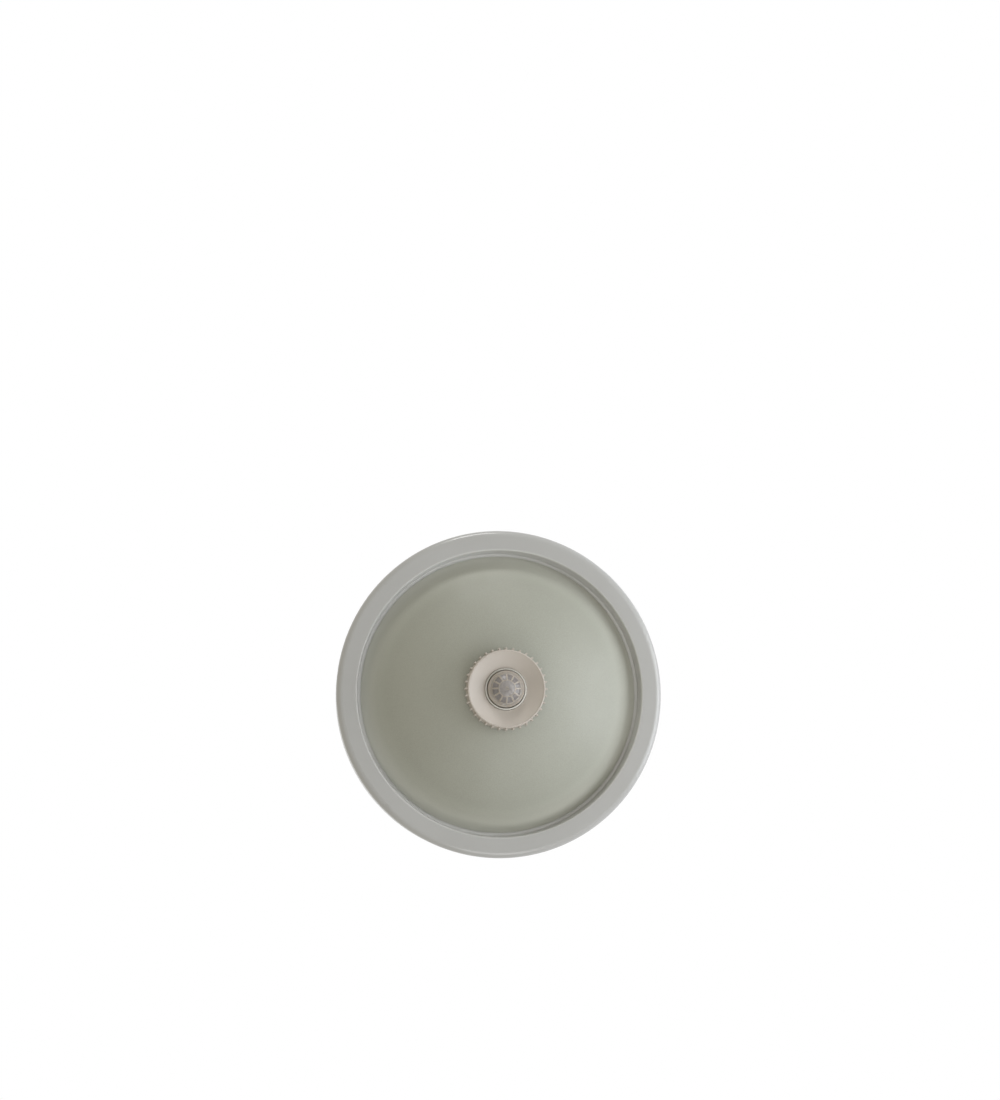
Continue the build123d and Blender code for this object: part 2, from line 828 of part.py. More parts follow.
# Lampholder, bracket and bulb, built twice, half a turn apart
holder_shank_length = bracket_thickness + holder_base_length - holder_screw_cover
bulb_centre_x = bulb_crown_x - bulb_radius
neck_reach = hypot(bulb_cap_edge_x - bulb_centre_x, bulb_neck_radius)
neck_angle = degrees(atan2(bulb_neck_radius, bulb_cap_edge_x - bulb_centre_x))
tangent_angle = neck_angle - degrees(acos(bulb_radius / neck_reach))
cap_end_x = bulb_cap_edge_x - bulb_cap_straight - bulb_cap_taper
insulator_end_x = cap_end_x - bulb_insulator_length / 2
contact_back_x = insulator_end_x - bulb_contact_height - seat_gap - contact_thickness
socket_floor_x = holder_mouth_x - socket_depth

for lamp_number, side in ((1, 1), (2, -1)):
    section = lamp_section(side)
    axis = lamp_axis(side)

    # Bracket: a bent strip, its foot on the floor of the pan and its upright behind the holder
    with BuildPart() as bracket:
        with BuildSketch(section):
            with BuildLine():
                bracket_line = FilletPolyline(
                    (holder_back_x - bracket_foot_length, floor_z - lamp_z),
                    (holder_back_x, floor_z - lamp_z),
                    (holder_back_x, -bracket_drop - lamp_z),
                    radius=bracket_bend_radius,
                )
                offset(bracket_line, amount=bracket_thickness, side=Side.RIGHT)
            make_face()
        extrude(amount=holder_base_side / 2, both=True)
        with BuildSketch(lamp_cross_plane(side, holder_back_x)):
            with GridLocations(holder_screw_spacing, 1, 2, 1):
                Circle(screw_radius + hole_clearance)
        extrude(amount=-bracket_thickness, mode=Mode.SUBTRACT)
        with BuildSketch(Plane.XY.offset(floor_z)):
            with Locations(*rivet_places):
                Circle(rivet_radius + hole_clearance)
        extrude(amount=-bracket_thickness, mode=Mode.SUBTRACT)
    bracket.part.label = f"lampholder_bracket_{lamp_number}"
    export_step(bracket.part, f"parts/lampholder_bracket_{lamp_number}.step")

    # Holder body: square base, flared round skirt and a deep socket
    with BuildPart() as holder:
        with BuildSketch(lamp_cross_plane(side, holder_back_x)):
            RectangleRounded(holder_base_side, holder_base_side, holder_base_rounding)
        extrude(amount=holder_base_length)
        with BuildSketch(section):
            with BuildLine():
                flare_start_x = holder_back_x + holder_base_length
                Polyline(
                    (flare_start_x, 0),
                    (flare_start_x, holder_base_side / 2),
                    (flare_start_x + holder_flare_length, holder_radius),
                    (holder_mouth_x - holder_lip, holder_radius),
                    (holder_mouth_x, holder_radius - holder_lip),
                    (holder_mouth_x, socket_radius),
                    (socket_floor_x, socket_radius),
                    (socket_floor_x, 0),
                    close=True,
                )
            make_face()
        revolve(axis=axis)
        with BuildSketch(lamp_cross_plane(side, holder_back_x)):
            with GridLocations(holder_screw_spacing, 1, 2, 1):
                Circle(screw_radius + hole_clearance)
        extrude(amount=holder_base_length - holder_hole_cover, mode=Mode.SUBTRACT)
    holder.part.label = f"lampholder_{lamp_number}"
    export_step(holder.part, f"parts/lampholder_{lamp_number}.step")

    # Screw shell in the socket, with its floor ring
    with BuildPart() as shell:
        with BuildSketch(section):
            with BuildLine():
                shell_radius = bulb_cap_radius + seat_gap + shell_wall
                shell_line = FilletPolyline(
                    (holder_mouth_x - shell_mouth_recess, shell_radius),
                    (socket_floor_x, shell_radius),
                    (socket_floor_x, shell_radius - shell_floor_width),
                    radius=shell_rounding,
                )
                offset(shell_line, amount=shell_wall, side=Side.LEFT)
            make_face()
        revolve(axis=axis)
    shell.part.label = f"screw_shell_{lamp_number}"
    export_step(shell.part, f"parts/screw_shell_{lamp_number}.step")

    # Centre contact: a bent spring strip that reaches out to the bulb
    with BuildPart() as contact:
        with BuildSketch(section):
            with BuildLine():
                contact_line = FilletPolyline(
                    (socket_floor_x, -contact_width / 2 - contact_foot_length),
                    (socket_floor_x, -contact_width / 2),
                    (contact_back_x, contact_width / 2 - contact_tip_length),
                    (contact_back_x, contact_width / 2),
                    radius=contact_bend_radius,
                )
                offset(contact_line, amount=contact_thickness, side=Side.RIGHT)
            make_face()
        extrude(amount=contact_width / 2, both=True)
    contact.part.label = f"centre_contact_{lamp_number}"
    export_step(contact.part, f"parts/centre_contact_{lamp_number}.step")

    # Screws that hold the lampholder on its bracket
    holder_screws = build_screws(
        Plane(
            origin=lamp_point(side, holder_back_x - bracket_thickness, 0, lamp_z),
            x_dir=(0, side, 0),
            z_dir=(-side, 0, 0),
        ),
        [(-holder_screw_spacing / 2, 0), (holder_screw_spacing / 2, 0)],
        screw_radius,
        holder_shank_length,
        screw_head_radius,
        screw_head_height,
    )
    holder_screws.label = f"holder_screws_{lamp_number}"
    export_step(holder_screws, f"parts/holder_screws_{lamp_number}.step")

    # Bulb globe: a thin glass ball that runs straight into its neck
    with BuildPart() as globe:
        with BuildSketch(section):
            with BuildLine():
                globe_arc = CenterArc((bulb_centre_x, 0), bulb_radius, 0, tangent_angle)
                globe_line = Polyline(
                    globe_arc @ 1,
                    (bulb_cap_edge_x, bulb_neck_radius),
                    (bulb_cap_edge_x - bulb_neck_overlap, bulb_neck_radius),
                )
                offset(globe_arc + globe_line, amount=bulb_wall, side=Side.LEFT)
            make_face()
        revolve(axis=axis)
    globe.part.label = f"bulb_globe_{lamp_number}"
    export_step(globe.part, f"parts/bulb_globe_{lamp_number}.step")

    # Bulb cap: a metal sleeve that tapers to the insulator
    with BuildPart() as cap:
        with BuildSketch(section):
            with BuildLine():
                cap_line = FilletPolyline(
                    (bulb_cap_edge_x, bulb_cap_radius),
                    (bulb_cap_edge_x - bulb_cap_straight, bulb_cap_radius),
                    (cap_end_x, bulb_cap_end_radius),
                    radius=bulb_cap_rounding,
                )
                offset(cap_line, amount=bulb_cap_wall, side=Side.LEFT)
            make_face()
        revolve(axis=axis)
    cap.part.label = f"bulb_cap_{lamp_number}"
    export_step(cap.part, f"parts/bulb_cap_{lamp_number}.step")

    with BuildPart() as insulator:
        with BuildSketch(lamp_cross_plane(side, insulator_end_x)):
            Circle(bulb_insulator_radius)
        extrude(amount=bulb_insulator_length)
    insulator.part.label = f"bulb_insulator_{lamp_number}"
    export_step(insulator.part, f"parts/bulb_insulator_{lamp_number}.step")

    with BuildPart() as end_contact:
        with BuildSketch(lamp_cross_plane(side, insulator_end_x)):
            Circle(bulb_contact_radius)
        extrude(amount=-bulb_contact_height, taper=bulb_contact_taper)
    end_contact.part.label = f"bulb_contact_{lamp_number}"
    export_step(end_contact.part, f"parts/bulb_contact_{lamp_number}.step")

# Rivets of both brackets, with their tails in the gap above the floor of the pan
with BuildPart() as bracket_rivets:
    with BuildSketch(Plane.XY.offset(floor_z - bracket_thickness - rivet_head_height)):
        with Locations(*rivet_places):
            Circle(rivet_head_radius)
    extrude(amount=rivet_head_height)
    head_faces = bracket_rivets.faces().filter_by(Axis.Z).group_by(Axis.Z)[0]
    fillet(head_faces.edges(), rivet_head_rounding)
    with BuildSketch(Plane.XY.offset(floor_z - bracket_thickness)):
        with Locations(*rivet_places):
            Circle(rivet_radius)
    extrude(amount=bracket_thickness + sheet)
    with BuildSketch(Plane.XY.offset(floor_back_z)):
        with Locations(*rivet_places):
            Circle(rivet_tail_radius)
    extrude(amount=rivet_tail_height)
bracket_rivets.part.label = "bracket_rivets"
export_step(bracket_rivets.part, "parts/bracket_rivets.step")

# Terminal block: a base with three barrels, each with two screw towers
pole_places = [(pole - (pole_count - 1) / 2) * pole_pitch for pole in range(pole_count)]
tower_places = [
    (block_x + x, y) for y in pole_places for x in (-clamp_screw_spacing / 2, clamp_screw_spacing / 2)
]
clamp_z = -clamp_level
block_top_z = floor_z - block_height
block_screw_seat_z = clamp_z - barrel_radius + seat_gap
block_end_x = block_x - block_length / 2
with BuildPart() as terminal_block:
    with BuildSketch(Plane.XY.offset(floor_z)):
        with Locations((block_x, 0)):
            RectangleRounded(block_length, pole_count * pole_pitch, block_rounding)
    extrude(amount=-block_base_height)
    with BuildSketch(Plane.YZ.offset(block_end_x)):
        with Locations(*[(y, clamp_z) for y in pole_places]):
            Circle(barrel_radius)
            with Locations((0, (floor_z - clamp_z) / 2)):
                Rectangle(2 * tower_radius, floor_z - clamp_z)
    extrude(amount=block_length)
    with BuildSketch(Plane.XY.offset(block_top_z)):
        with Locations(*tower_places):
            Circle(tower_radius)
    extrude(amount=clamp_z - block_top_z)
    with BuildSketch(Plane.XY.offset(floor_z)):
        with Locations(block_screw_place):
            Circle(block_screw_head_radius)
    extrude(amount=block_screw_seat_z - floor_z)
    with BuildSketch(Plane.XY.offset(floor_z)):
        with Locations(block_screw_place):
            Circle(block_screw_radius + hole_clearance)
    extrude(amount=block_screw_seat_z - floor_z, mode=Mode.SUBTRACT)
    with BuildSketch(Plane.YZ.offset(block_end_x)):
        with Locations(*[(y, clamp_z) for y in pole_places]):
            Circle(wire_hole_radius)
    extrude(amount=block_length, mode=Mode.SUBTRACT)
    with BuildSketch(Plane.YZ.offset(block_end_x + clamp_recess)):
        with Locations(*[(y, clamp_z) for y in pole_places]):
            Circle(clamp_radius + hole_clearance)
    extrude(amount=block_length - 2 * clamp_recess, mode=Mode.SUBTRACT)
    with BuildSketch(Plane.XY.offset(block_top_z)):
        with Locations(*tower_places):
            Circle(clamp_screw_radius + hole_clearance)
    extrude(amount=clamp_z - block_top_z, mode=Mode.SUBTRACT)
terminal_block.part.label = "terminal_block"
export_step(terminal_block.part, "parts/terminal_block.step")

clamp_length = block_length - 2 * clamp_recess - 2 * seat_gap
with BuildPart() as terminal_clamps:
    with BuildSketch(Plane.YZ.offset(block_x - clamp_length / 2)):
        with Locations(*[(y, clamp_z) for y in pole_places]):
            Circle(clamp_radius)
            Circle(clamp_bore_radius, mode=Mode.SUBTRACT)
    extrude(amount=clamp_length)
terminal_clamps.part.label = "terminal_clamps"
export_step(terminal_clamps.part, "parts/terminal_clamps.step")

with BuildPart() as terminal_screws:
    with BuildSketch(Plane.XY.offset(clamp_z - clamp_radius - hole_clearance)):
        with Locations(*tower_places):
            Circle(clamp_screw_radius)
    extrude(amount=-(clamp_z - clamp_radius - block_top_z - 2 * board_gap))
terminal_screws.part.label = "terminal_screws"
export_step(terminal_screws.part, "parts/terminal_screws.step")

# Earth clamp: a small brass saddle on the floor of the pan, with its screw
with BuildPart() as earth_clamp:
    with BuildSketch(Plane.XY.offset(floor_z)):
        with Locations(earth_clamp_place):
            RectangleRounded(earth_clamp_side, earth_clamp_side, earth_clamp_rounding)
    extrude(amount=-earth_clamp_height)
    chamfer(earth_clamp.faces().sort_by(Axis.Z)[0].edges(), earth_clamp_chamfer)
    with BuildSketch(Plane.XY.offset(floor_z)):
        with Locations(earth_clamp_place):
            Circle(screw_radius + hole_clearance)
    extrude(amount=-earth_clamp_height, mode=Mode.SUBTRACT)
earth_clamp.part.label = "earth_clamp"
export_step(earth_clamp.part, "parts/earth_clamp.step")

floor_down = Plane((0, 0, 0), x_dir=(1, 0, 0), z_dir=(0, 0, -1))
earth_screw = build_screws(
    floor_down.offset(earth_clamp_height - floor_z),
    [(earth_clamp_place[0], -earth_clamp_place[1])],
    screw_radius,
    earth_clamp_height + sheet + floor_gap / 2,
    screw_head_radius,
    screw_head_height,
)
earth_screw.label = "earth_screw"
export_step(earth_screw, "parts/earth_screw.step")

block_screw = build_screws(
    floor_down.offset(-block_screw_seat_z),
    [(block_screw_place[0], -block_screw_place[1])],
    block_screw_radius,
    floor_back_z + floor_gap / 2 - block_screw_seat_z,
    block_screw_head_radius,
    screw_head_height,
)
block_screw.label = "block_screw"
export_step(block_screw, "parts/block_screw.step")

# Cable grommet: a lip on each side of the sheet, a waist in the hole and a closed cone to pierce
grommet_waist = cable_hole_radius - seat_gap
grommet_lip_radius = cable_hole_radius + grommet_lip
grommet_back_z = floor_back_z + seat_gap
grommet_front_z = floor_z - seat_gap
grommet_axis = Axis((cable_entry_x, 0, 0), (0, 0, 1))
grommet_chamfer_radius = grommet_lip_radius - grommet_lip_chamfer
membrane_z = grommet_front_z - membrane_drop
with BuildPart() as cable_grommet:
    with BuildSketch(Plane.XZ):
        with BuildLine():
            Polyline(
                (cable_entry_x, membrane_z),
                (cable_entry_x + grommet_bore_radius / 2, membrane_z),
                (cable_entry_x + grommet_waist - membrane_thickness, grommet_front_z - grommet_lip_thickness),
                (cable_entry_x + grommet_chamfer_radius, grommet_front_z - grommet_lip_thickness),
                (cable_entry_x + grommet_lip_radius, grommet_front_z),
                (cable_entry_x + grommet_waist, grommet_front_z),
                (cable_entry_x + grommet_waist, grommet_back_z),
                (cable_entry_x + grommet_lip_radius, grommet_back_z),
                (cable_entry_x + grommet_chamfer_radius, grommet_back_z + grommet_lip_thickness),
                (cable_entry_x + grommet_bore_radius, grommet_back_z + grommet_lip_thickness),
                (cable_entry_x + grommet_bore_radius, grommet_front_z - grommet_lip_thickness / 2),
                (cable_entry_x + grommet_bore_radius / 2, membrane_z + membrane_thickness),
                (cable_entry_x, membrane_z + membrane_thickness),
                close=True,
            )
        make_face()
    revolve(axis=grommet_axis)
cable_grommet.part.label = "cable_grommet"
export_step(cable_grommet.part, "parts/cable_grommet.step")


def bend_radii(points):
    """Largest bend at each inner point that both of its runs have room for."""
    radii = []
    for before, corner, after in zip(points, points[1:], points[2:]):
        run_in = Vector(corner) - Vector(before)
        run_out = Vector(after) - Vector(corner)
        turn = radians(run_in.get_angle(run_out))
        radii.append(bend_share * min(run_in.length, run_out.length) / tan(turn / 2))
    return radii


def build_wire(points):
    """Insulated wire of round section along straight runs and tangent bends."""
    radii = bend_radii(points)
    with BuildPart() as wire:
        with BuildLine():
            FilletPolyline(*points, radius=radii)
        with BuildSketch(Plane(origin=points[0], z_dir=Vector(*points[1]) - Vector(*points[0]))):
            Circle(wire_radius)
        sweep()
    print("wire bends", [round(radius, 1) for radius in radii])
    return wire.part


# Wires, each from the ceiling side of the control board or the terminal block to its terminal
notch_z = -notch_level
clamp_face_x = block_x + clamp_length / 2
holder_side_y = lamp_offset - holder_base_side / 2
wire_routes = {
    "supply_live_wire": [
        (-22, 4, board_back_z),
        (-22, 4, notch_z),
        (-40, 6, clamp_z),
        (clamp_face_x, pole_places[2], clamp_z),
    ],
    "supply_neutral_wire": [
        (-22, -4, board_back_z),
        (-22, -4, notch_z),
        (-40, -2, clamp_z),
        (clamp_face_x, pole_places[1], clamp_z),
    ],
    "earth_wire": [
        (clamp_face_x, pole_places[0], clamp_z),
        (-44, -9.5, clamp_z),
        (-43, earth_clamp_place[1], -earth_wire_depth),
        (earth_clamp_place[0] + earth_clamp_side / 2, earth_clamp_place[1], -earth_wire_depth),
    ],
}
lamp_wire_routes = {
    "switched_wire": [
        (-8.5, 20.3, board_back_z),
        (-8.5, 20.3, notch_z),
        (-18, 34, notch_z),
        (-52, 28, -switched_wire_depth),
        (-52, holder_side_y, -switched_wire_depth),
    ],
    "neutral_wire": [
        (-12, 18.4, board_back_z),
        (-12, 18.4, notch_z),
        (-21, 30, notch_z),
        (-47, 25, -neutral_wire_depth),
        (-47, holder_side_y, -neutral_wire_depth),
    ],
}
for lamp_number, side in ((1, 1), (2, -1)):
    for name, points in lamp_wire_routes.items():
        wire_routes[f"{name}_{lamp_number}"] = [(side * x, side * y, z) for x, y, z in points]
for name, points in wire_routes.items():
    wire_part = build_wire(points)
    wire_part.label = name
    export_step(wire_part, f"parts/{name}.step")
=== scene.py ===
import json
from math import cos, pi, radians, sin, sqrt, tau

import bpy
from mathutils import Matrix, Vector


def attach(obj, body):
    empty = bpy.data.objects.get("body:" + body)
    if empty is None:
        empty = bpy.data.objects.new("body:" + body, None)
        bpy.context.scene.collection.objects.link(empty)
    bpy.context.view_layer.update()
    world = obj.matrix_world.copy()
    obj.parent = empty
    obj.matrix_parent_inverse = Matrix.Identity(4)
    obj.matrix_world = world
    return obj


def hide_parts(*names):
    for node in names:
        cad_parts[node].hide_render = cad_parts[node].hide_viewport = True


# The ceiling is the plane z = 0 and the light hangs down from it along -Z. Lengths are in metres.
MM = 0.001
WHITE = (1.0, 1.0, 1.0)

# Sizes that the scene's own pieces take from the part
RECESS_RADII = (119.0 * MM, 132.8 * MM)
NECK_RADIUS = 18.4 * MM
NECK_END_Z = -91.0 * MM
SHOULDER_Z = -54.0 * MM
NUT_BORE_RADIUS = 19.0 * MM
NUT_LIP_Z = -90.0 * MM
NUT_SPIGOT_END_Z = -77.0 * MM
NUT_THREAD_PITCH = 3.0 * MM
LENS_COLLAR_RADIUS = 16.4 * MM
LENS_COLLAR_Z = -94.1 * MM
LENS_DOME_RADIUS = 13.2 * MM
LENS_DOME_EDGE_Z = -95.0 * MM
LENS_APEX_Z = -101.8 * MM
LAMP_OFFSET = 56.0 * MM
LAMP_Z = -29.5 * MM
HOLDER_MOUTH_X = -14.0 * MM
BULB_CAP_EDGE_X = -11.0 * MM
BULB_CAP_RADIUS = 13.2 * MM
BULB_CAP_STRAIGHT = 21.0 * MM
SHELL_RADIUS = 14.4 * MM
KNOB_CIRCLE = 22.8 * MM
KNOB_ANGLES = {"time_dial": 248, "lux_dial": 292}

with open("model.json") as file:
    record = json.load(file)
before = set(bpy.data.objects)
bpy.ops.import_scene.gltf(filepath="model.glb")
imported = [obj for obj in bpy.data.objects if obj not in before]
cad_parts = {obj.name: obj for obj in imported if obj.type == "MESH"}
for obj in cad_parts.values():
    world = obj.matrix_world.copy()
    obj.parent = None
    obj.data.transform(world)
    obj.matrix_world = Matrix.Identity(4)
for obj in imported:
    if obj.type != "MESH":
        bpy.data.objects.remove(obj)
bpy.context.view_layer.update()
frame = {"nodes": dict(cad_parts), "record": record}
nodes = frame["nodes"]


# Shader helpers

# Levels of cloudy noise at which a tint or a gloss reaches its low and its high value
CLOUD_LOW = 0.3
CLOUD_HIGH = 0.7
PLAIN_SPECULAR = 0.5
FULL_STRENGTH = 1.0


def new_material(name, colour, roughness, metallic=0.0):
    """A material with its main shader's plain values set."""
    material = bpy.data.materials.new(name)
    material.use_nodes = True
    shader = material.node_tree.nodes["Principled BSDF"]
    shader.inputs["Base Color"].default_value = (*colour, 1)
    shader.inputs["Roughness"].default_value = roughness
    shader.inputs["Metallic"].default_value = metallic
    shader.inputs["Specular IOR Level"].default_value = PLAIN_SPECULAR
    return material, material.node_tree, shader


def coat(shader, weight, roughness):
    """A clear coat over the surface."""
    shader.inputs["Coat Weight"].default_value = weight
    shader.inputs["Coat Roughness"].default_value = roughness


def place(tree, stretch=(1, 1, 1)):
    """Where a point lies on the piece, in metres, stretched along each axis."""
    coordinates = tree.nodes.new("ShaderNodeTexCoord")
    mapping = tree.nodes.new("ShaderNodeMapping")
    mapping.inputs["Scale"].default_value = stretch
    tree.links.new(coordinates.outputs["Object"], mapping.inputs["Vector"])
    return mapping.outputs["Vector"]


def axis_distance(tree):
    """Distance from the light's axis, in metres."""
    length = tree.nodes.new("ShaderNodeVectorMath")
    length.operation = "LENGTH"
    tree.links.new(place(tree, (1, 1, 0)), length.inputs[0])
    return length.outputs["Value"]


def noise(tree, where, size, detail=2.0, roughness=0.5):
    """Cloudy noise whose blotches are about this size in metres."""
    node = tree.nodes.new("ShaderNodeTexNoise")
    node.inputs["Scale"].default_value = 1 / size
    node.inputs["Detail"].default_value = detail
    node.inputs["Roughness"].default_value = roughness
    tree.links.new(where, node.inputs["Vector"])
    return node.outputs["Fac"]


def ramp(tree, value, *stops):
    """Turns a value into a colour or a grey by stops of (position, colour)."""
    node = tree.nodes.new("ShaderNodeValToRGB")
    elements = node.color_ramp.elements
    for number, (position, colour) in enumerate(stops):
        element = elements[number] if number < 2 else elements.new(position)
        element.position = position
        element.color = (*colour, 1) if isinstance(colour, tuple) else (colour, colour, colour, 1)
    tree.links.new(value, node.inputs["Fac"])
    return node.outputs["Color"]


def clouded(tree, cloud, low, high, socket):
    """Drives a socket from its low to its high value as cloudy noise rises."""
    tree.links.new(ramp(tree, cloud, (CLOUD_LOW, low), (CLOUD_HIGH, high)), socket)


def scaled(colour, factor):
    """A colour made darker or lighter, no channel over 1."""
    return tuple(min(1.0, channel * factor) for channel in colour)


def mix(tree, amount, first, second, kind="MIX"):
    """Mixes two colours by an amount, each given as a socket or a plain value."""
    node = tree.nodes.new("ShaderNodeMix")
    node.data_type = "RGBA"
    node.blend_type = kind
    for socket, value in ((node.inputs[0], amount), (node.inputs[6], first), (node.inputs[7], second)):
        if isinstance(value, bpy.types.NodeSocket):
            tree.links.new(value, socket)
        elif isinstance(value, tuple):
            socket.default_value = (*value, 1)
        else:
            socket.default_value = value
    return node.outputs[2]


def bump(tree, shader, height, distance, under=None):
    """Raises the surface by a height map, on top of an earlier bump."""
    node = tree.nodes.new("ShaderNodeBump")
    node.inputs["Distance"].default_value = distance
    node.inputs["Strength"].default_value = FULL_STRENGTH
    tree.links.new(height, node.inputs["Height"])
    if under is not None:
        tree.links.new(under, node.inputs["Normal"])
    tree.links.new(node.outputs["Normal"], shader.inputs["Normal"])
    return node.outputs["Normal"]


def mottled(name, colour, uneven, blotch, roughness, grain, grain_height):
    """Plain moulded stuff: blotches of colour, uneven gloss and a fine grain. Sizes are in mm."""
    material, tree, shader = new_material(name, colour, roughness)
    where = place(tree)
    base_colour = shader.inputs["Base Color"]
    cloud = noise(tree, where, blotch * MM, detail=4.0)
    clouded(tree, cloud, scaled(colour, 1 - uneven), scaled(colour, 1 + uneven), base_colour)
    gloss = noise(tree, where, blotch * MM * 0.35, detail=3.0)
    clouded(tree, gloss, roughness * 0.85, roughness * 1.15, shader.inputs["Roughness"])
    bump(tree, shader, noise(tree, where, grain * MM), grain_height * MM)
    return material


# Materials of the outside

# Painted light: the recess paint and the glass's edge are made paler, standing in for the light that
# they throw at each other across the groove
RECESS_STEP = 1 * MM
RECESS_PAINTED_LIGHT = (0.72, 0.718, 0.70)
GLASS_EDGE_LIGHT_STOPS = ((104 * MM, 0.0), (114 * MM, 0.18), (122 * MM, 0.55), (127 * MM, 1.0))
GLASS_EDGE_PAINTED_LIGHT = (0.66, 0.665, 0.60)


def make_enamel():
    """Powder coat on pressed steel: faint orange peel and dust, with painted light that makes it paler
    in the recess round the glass, for light thrown back there.
    """
    material, tree, shader = new_material("white_enamel", (0.405, 0.405, 0.395), 0.3)
    where = place(tree)
    cloud = noise(tree, where, 60 * MM, detail=5.0, roughness=0.6)
    dark, light = (0.397, 0.396, 0.386), (0.413, 0.413, 0.404)
    tint = ramp(tree, cloud, (CLOUD_LOW, dark), (CLOUD_HIGH, light))
    dust = (0.34, 0.335, 0.32)
    specks = ramp(tree, noise(tree, where, 1.1 * MM, detail=1.0), (0.74, 0.0), (0.80, 0.15))
    dusty = mix(tree, specks, tint, dust)
    inner, outer = RECESS_RADII
    # Painted light: a mask that is 1 in the recess round the glass, where the paint is made paler
    recess = ramp(
        tree,
        axis_distance(tree),
        (inner - RECESS_STEP, 0.0),
        (inner, 1.0),
        (outer - RECESS_STEP, 1.0),
        (outer, 0.0),
    )
    tree.links.new(mix(tree, recess, dusty, RECESS_PAINTED_LIGHT), shader.inputs["Base Color"])
    gloss = noise(tree, where, 14 * MM, detail=4.0)
    clouded(tree, gloss, 0.28, 0.33, shader.inputs["Roughness"])
    coat(shader, 0.35, 0.12)
    peel = noise(tree, where, 1.6 * MM, detail=1.0)
    wave = noise(tree, where, 18 * MM, detail=1.0)
    under = bump(tree, shader, wave, 0.02 * MM)
    bump(tree, shader, peel, 0.006 * MM, under=under)
    return material


def make_frosted_glass():
    """Satin-etched glass, shaded as opaque so that it hides what is inside, with painted light that
    makes it paler towards its edge.
    """
    material, tree, shader = new_material("frosted_glass", (0.335, 0.34, 0.292), 0.5)
    where = place(tree)
    cloud = noise(tree, where, 90 * MM, detail=4.0, roughness=0.6)
    dark, light = (0.322, 0.328, 0.280), (0.348, 0.352, 0.304)
    tint = ramp(tree, cloud, (CLOUD_LOW, dark), (CLOUD_HIGH, light))
    grains = ramp(tree, noise(tree, where, 0.7 * MM), (0.35, 0.94), (0.65, 1.06))
    grained = mix(tree, 1.0, tint, grains, "MULTIPLY")
    # Painted light: the glass turns paler towards its edge, for light that glows there
    edge = ramp(tree, axis_distance(tree), *GLASS_EDGE_LIGHT_STOPS)
    tree.links.new(mix(tree, edge, grained, GLASS_EDGE_PAINTED_LIGHT), shader.inputs["Base Color"])
    gloss = noise(tree, where, 25 * MM, detail=4.0)
    clouded(tree, gloss, 0.46, 0.58, shader.inputs["Roughness"])
    bump(tree, shader, noise(tree, where, 0.5 * MM), 0.01 * MM)
    return material


def make_lens_plastic():
    """Milky polythene that lets light through and scatters it."""
    material, tree, shader = new_material("lens_plastic", (0.41, 0.37, 0.325), 0.42)
    where = place(tree)
    cloud = noise(tree, where, 5 * MM, detail=3.0)
    clouded(tree, cloud, (0.39, 0.35, 0.306), (0.43, 0.39, 0.344), shader.inputs["Base Color"])
    shader.inputs["Subsurface Weight"].default_value = 0.6
    shader.inputs["Subsurface Radius"].default_value = (1.0, 0.85, 0.7)
    shader.inputs["Subsurface Scale"].default_value = 3 * MM
    bump(tree, shader, noise(tree, where, 0.4 * MM), 0.01 * MM)
    return material


def make_lens_window(name, colour):
    """Clear facets of the lens: coated plastic with painted shade, dark for the dark inside seen
    through them.
    """
    material, tree, shader = new_material(name, colour, 0.32)
    where = place(tree)
    cloud = noise(tree, where, 2.5 * MM)
    clouded(tree, cloud, scaled(colour, 0.8), scaled(colour, 1.2), shader.inputs["Base Color"])
    coat(shader, 0.4, 0.3)
    bump(tree, shader, noise(tree, where, 0.6 * MM), 0.02 * MM)
    return material


# Materials of the inside


def make_metal(name, colour, roughness):
    """Bare or plated metal with dull blotches and fine scratches."""
    material, tree, shader = new_material(name, colour, roughness, metallic=1.0)
    where = place(tree)
    cloud = noise(tree, where, 6 * MM, detail=5.0, roughness=0.65)
    clouded(tree, cloud, scaled(colour, 0.8), colour, shader.inputs["Base Color"])
    clouded(tree, cloud, roughness * 1.5, roughness * 0.8, shader.inputs["Roughness"])
    bump(tree, shader, noise(tree, where, 0.4 * MM, detail=3.0), 0.01 * MM)
    return material


def make_porcelain():
    """Glazed white steatite with a few dark specks."""
    material, tree, shader = new_material("porcelain", (0.76, 0.745, 0.70), 0.18)
    where = place(tree)
    cloud = noise(tree, where, 12 * MM, detail=4.0)
    dark, light = (0.72, 0.70, 0.65), (0.79, 0.78, 0.74)
    tint = ramp(tree, cloud, (CLOUD_LOW, dark), (CLOUD_HIGH, light))
    specks = ramp(tree, noise(tree, where, 0.9 * MM, detail=0.0), (0.73, 0.0), (0.77, 0.5))
    tree.links.new(mix(tree, specks, tint, (0.40, 0.36, 0.30)), shader.inputs["Base Color"])
    coat(shader, 0.6, 0.08)
    bump(tree, shader, noise(tree, where, 7 * MM), 0.15 * MM)
    return material


def make_opal_glass():
    """Bulb glass with a white coat inside."""
    material, tree, shader = new_material("opal_glass", (0.84, 0.84, 0.82), 0.16)
    where = place(tree)
    cloud = noise(tree, where, 15 * MM, detail=3.0)
    clouded(tree, cloud, (0.82, 0.815, 0.79), (0.87, 0.87, 0.855), shader.inputs["Base Color"])
    coat(shader, 0.5, 0.05)
    bump(tree, shader, noise(tree, where, 12 * MM, detail=1.0), 0.1 * MM)
    return material


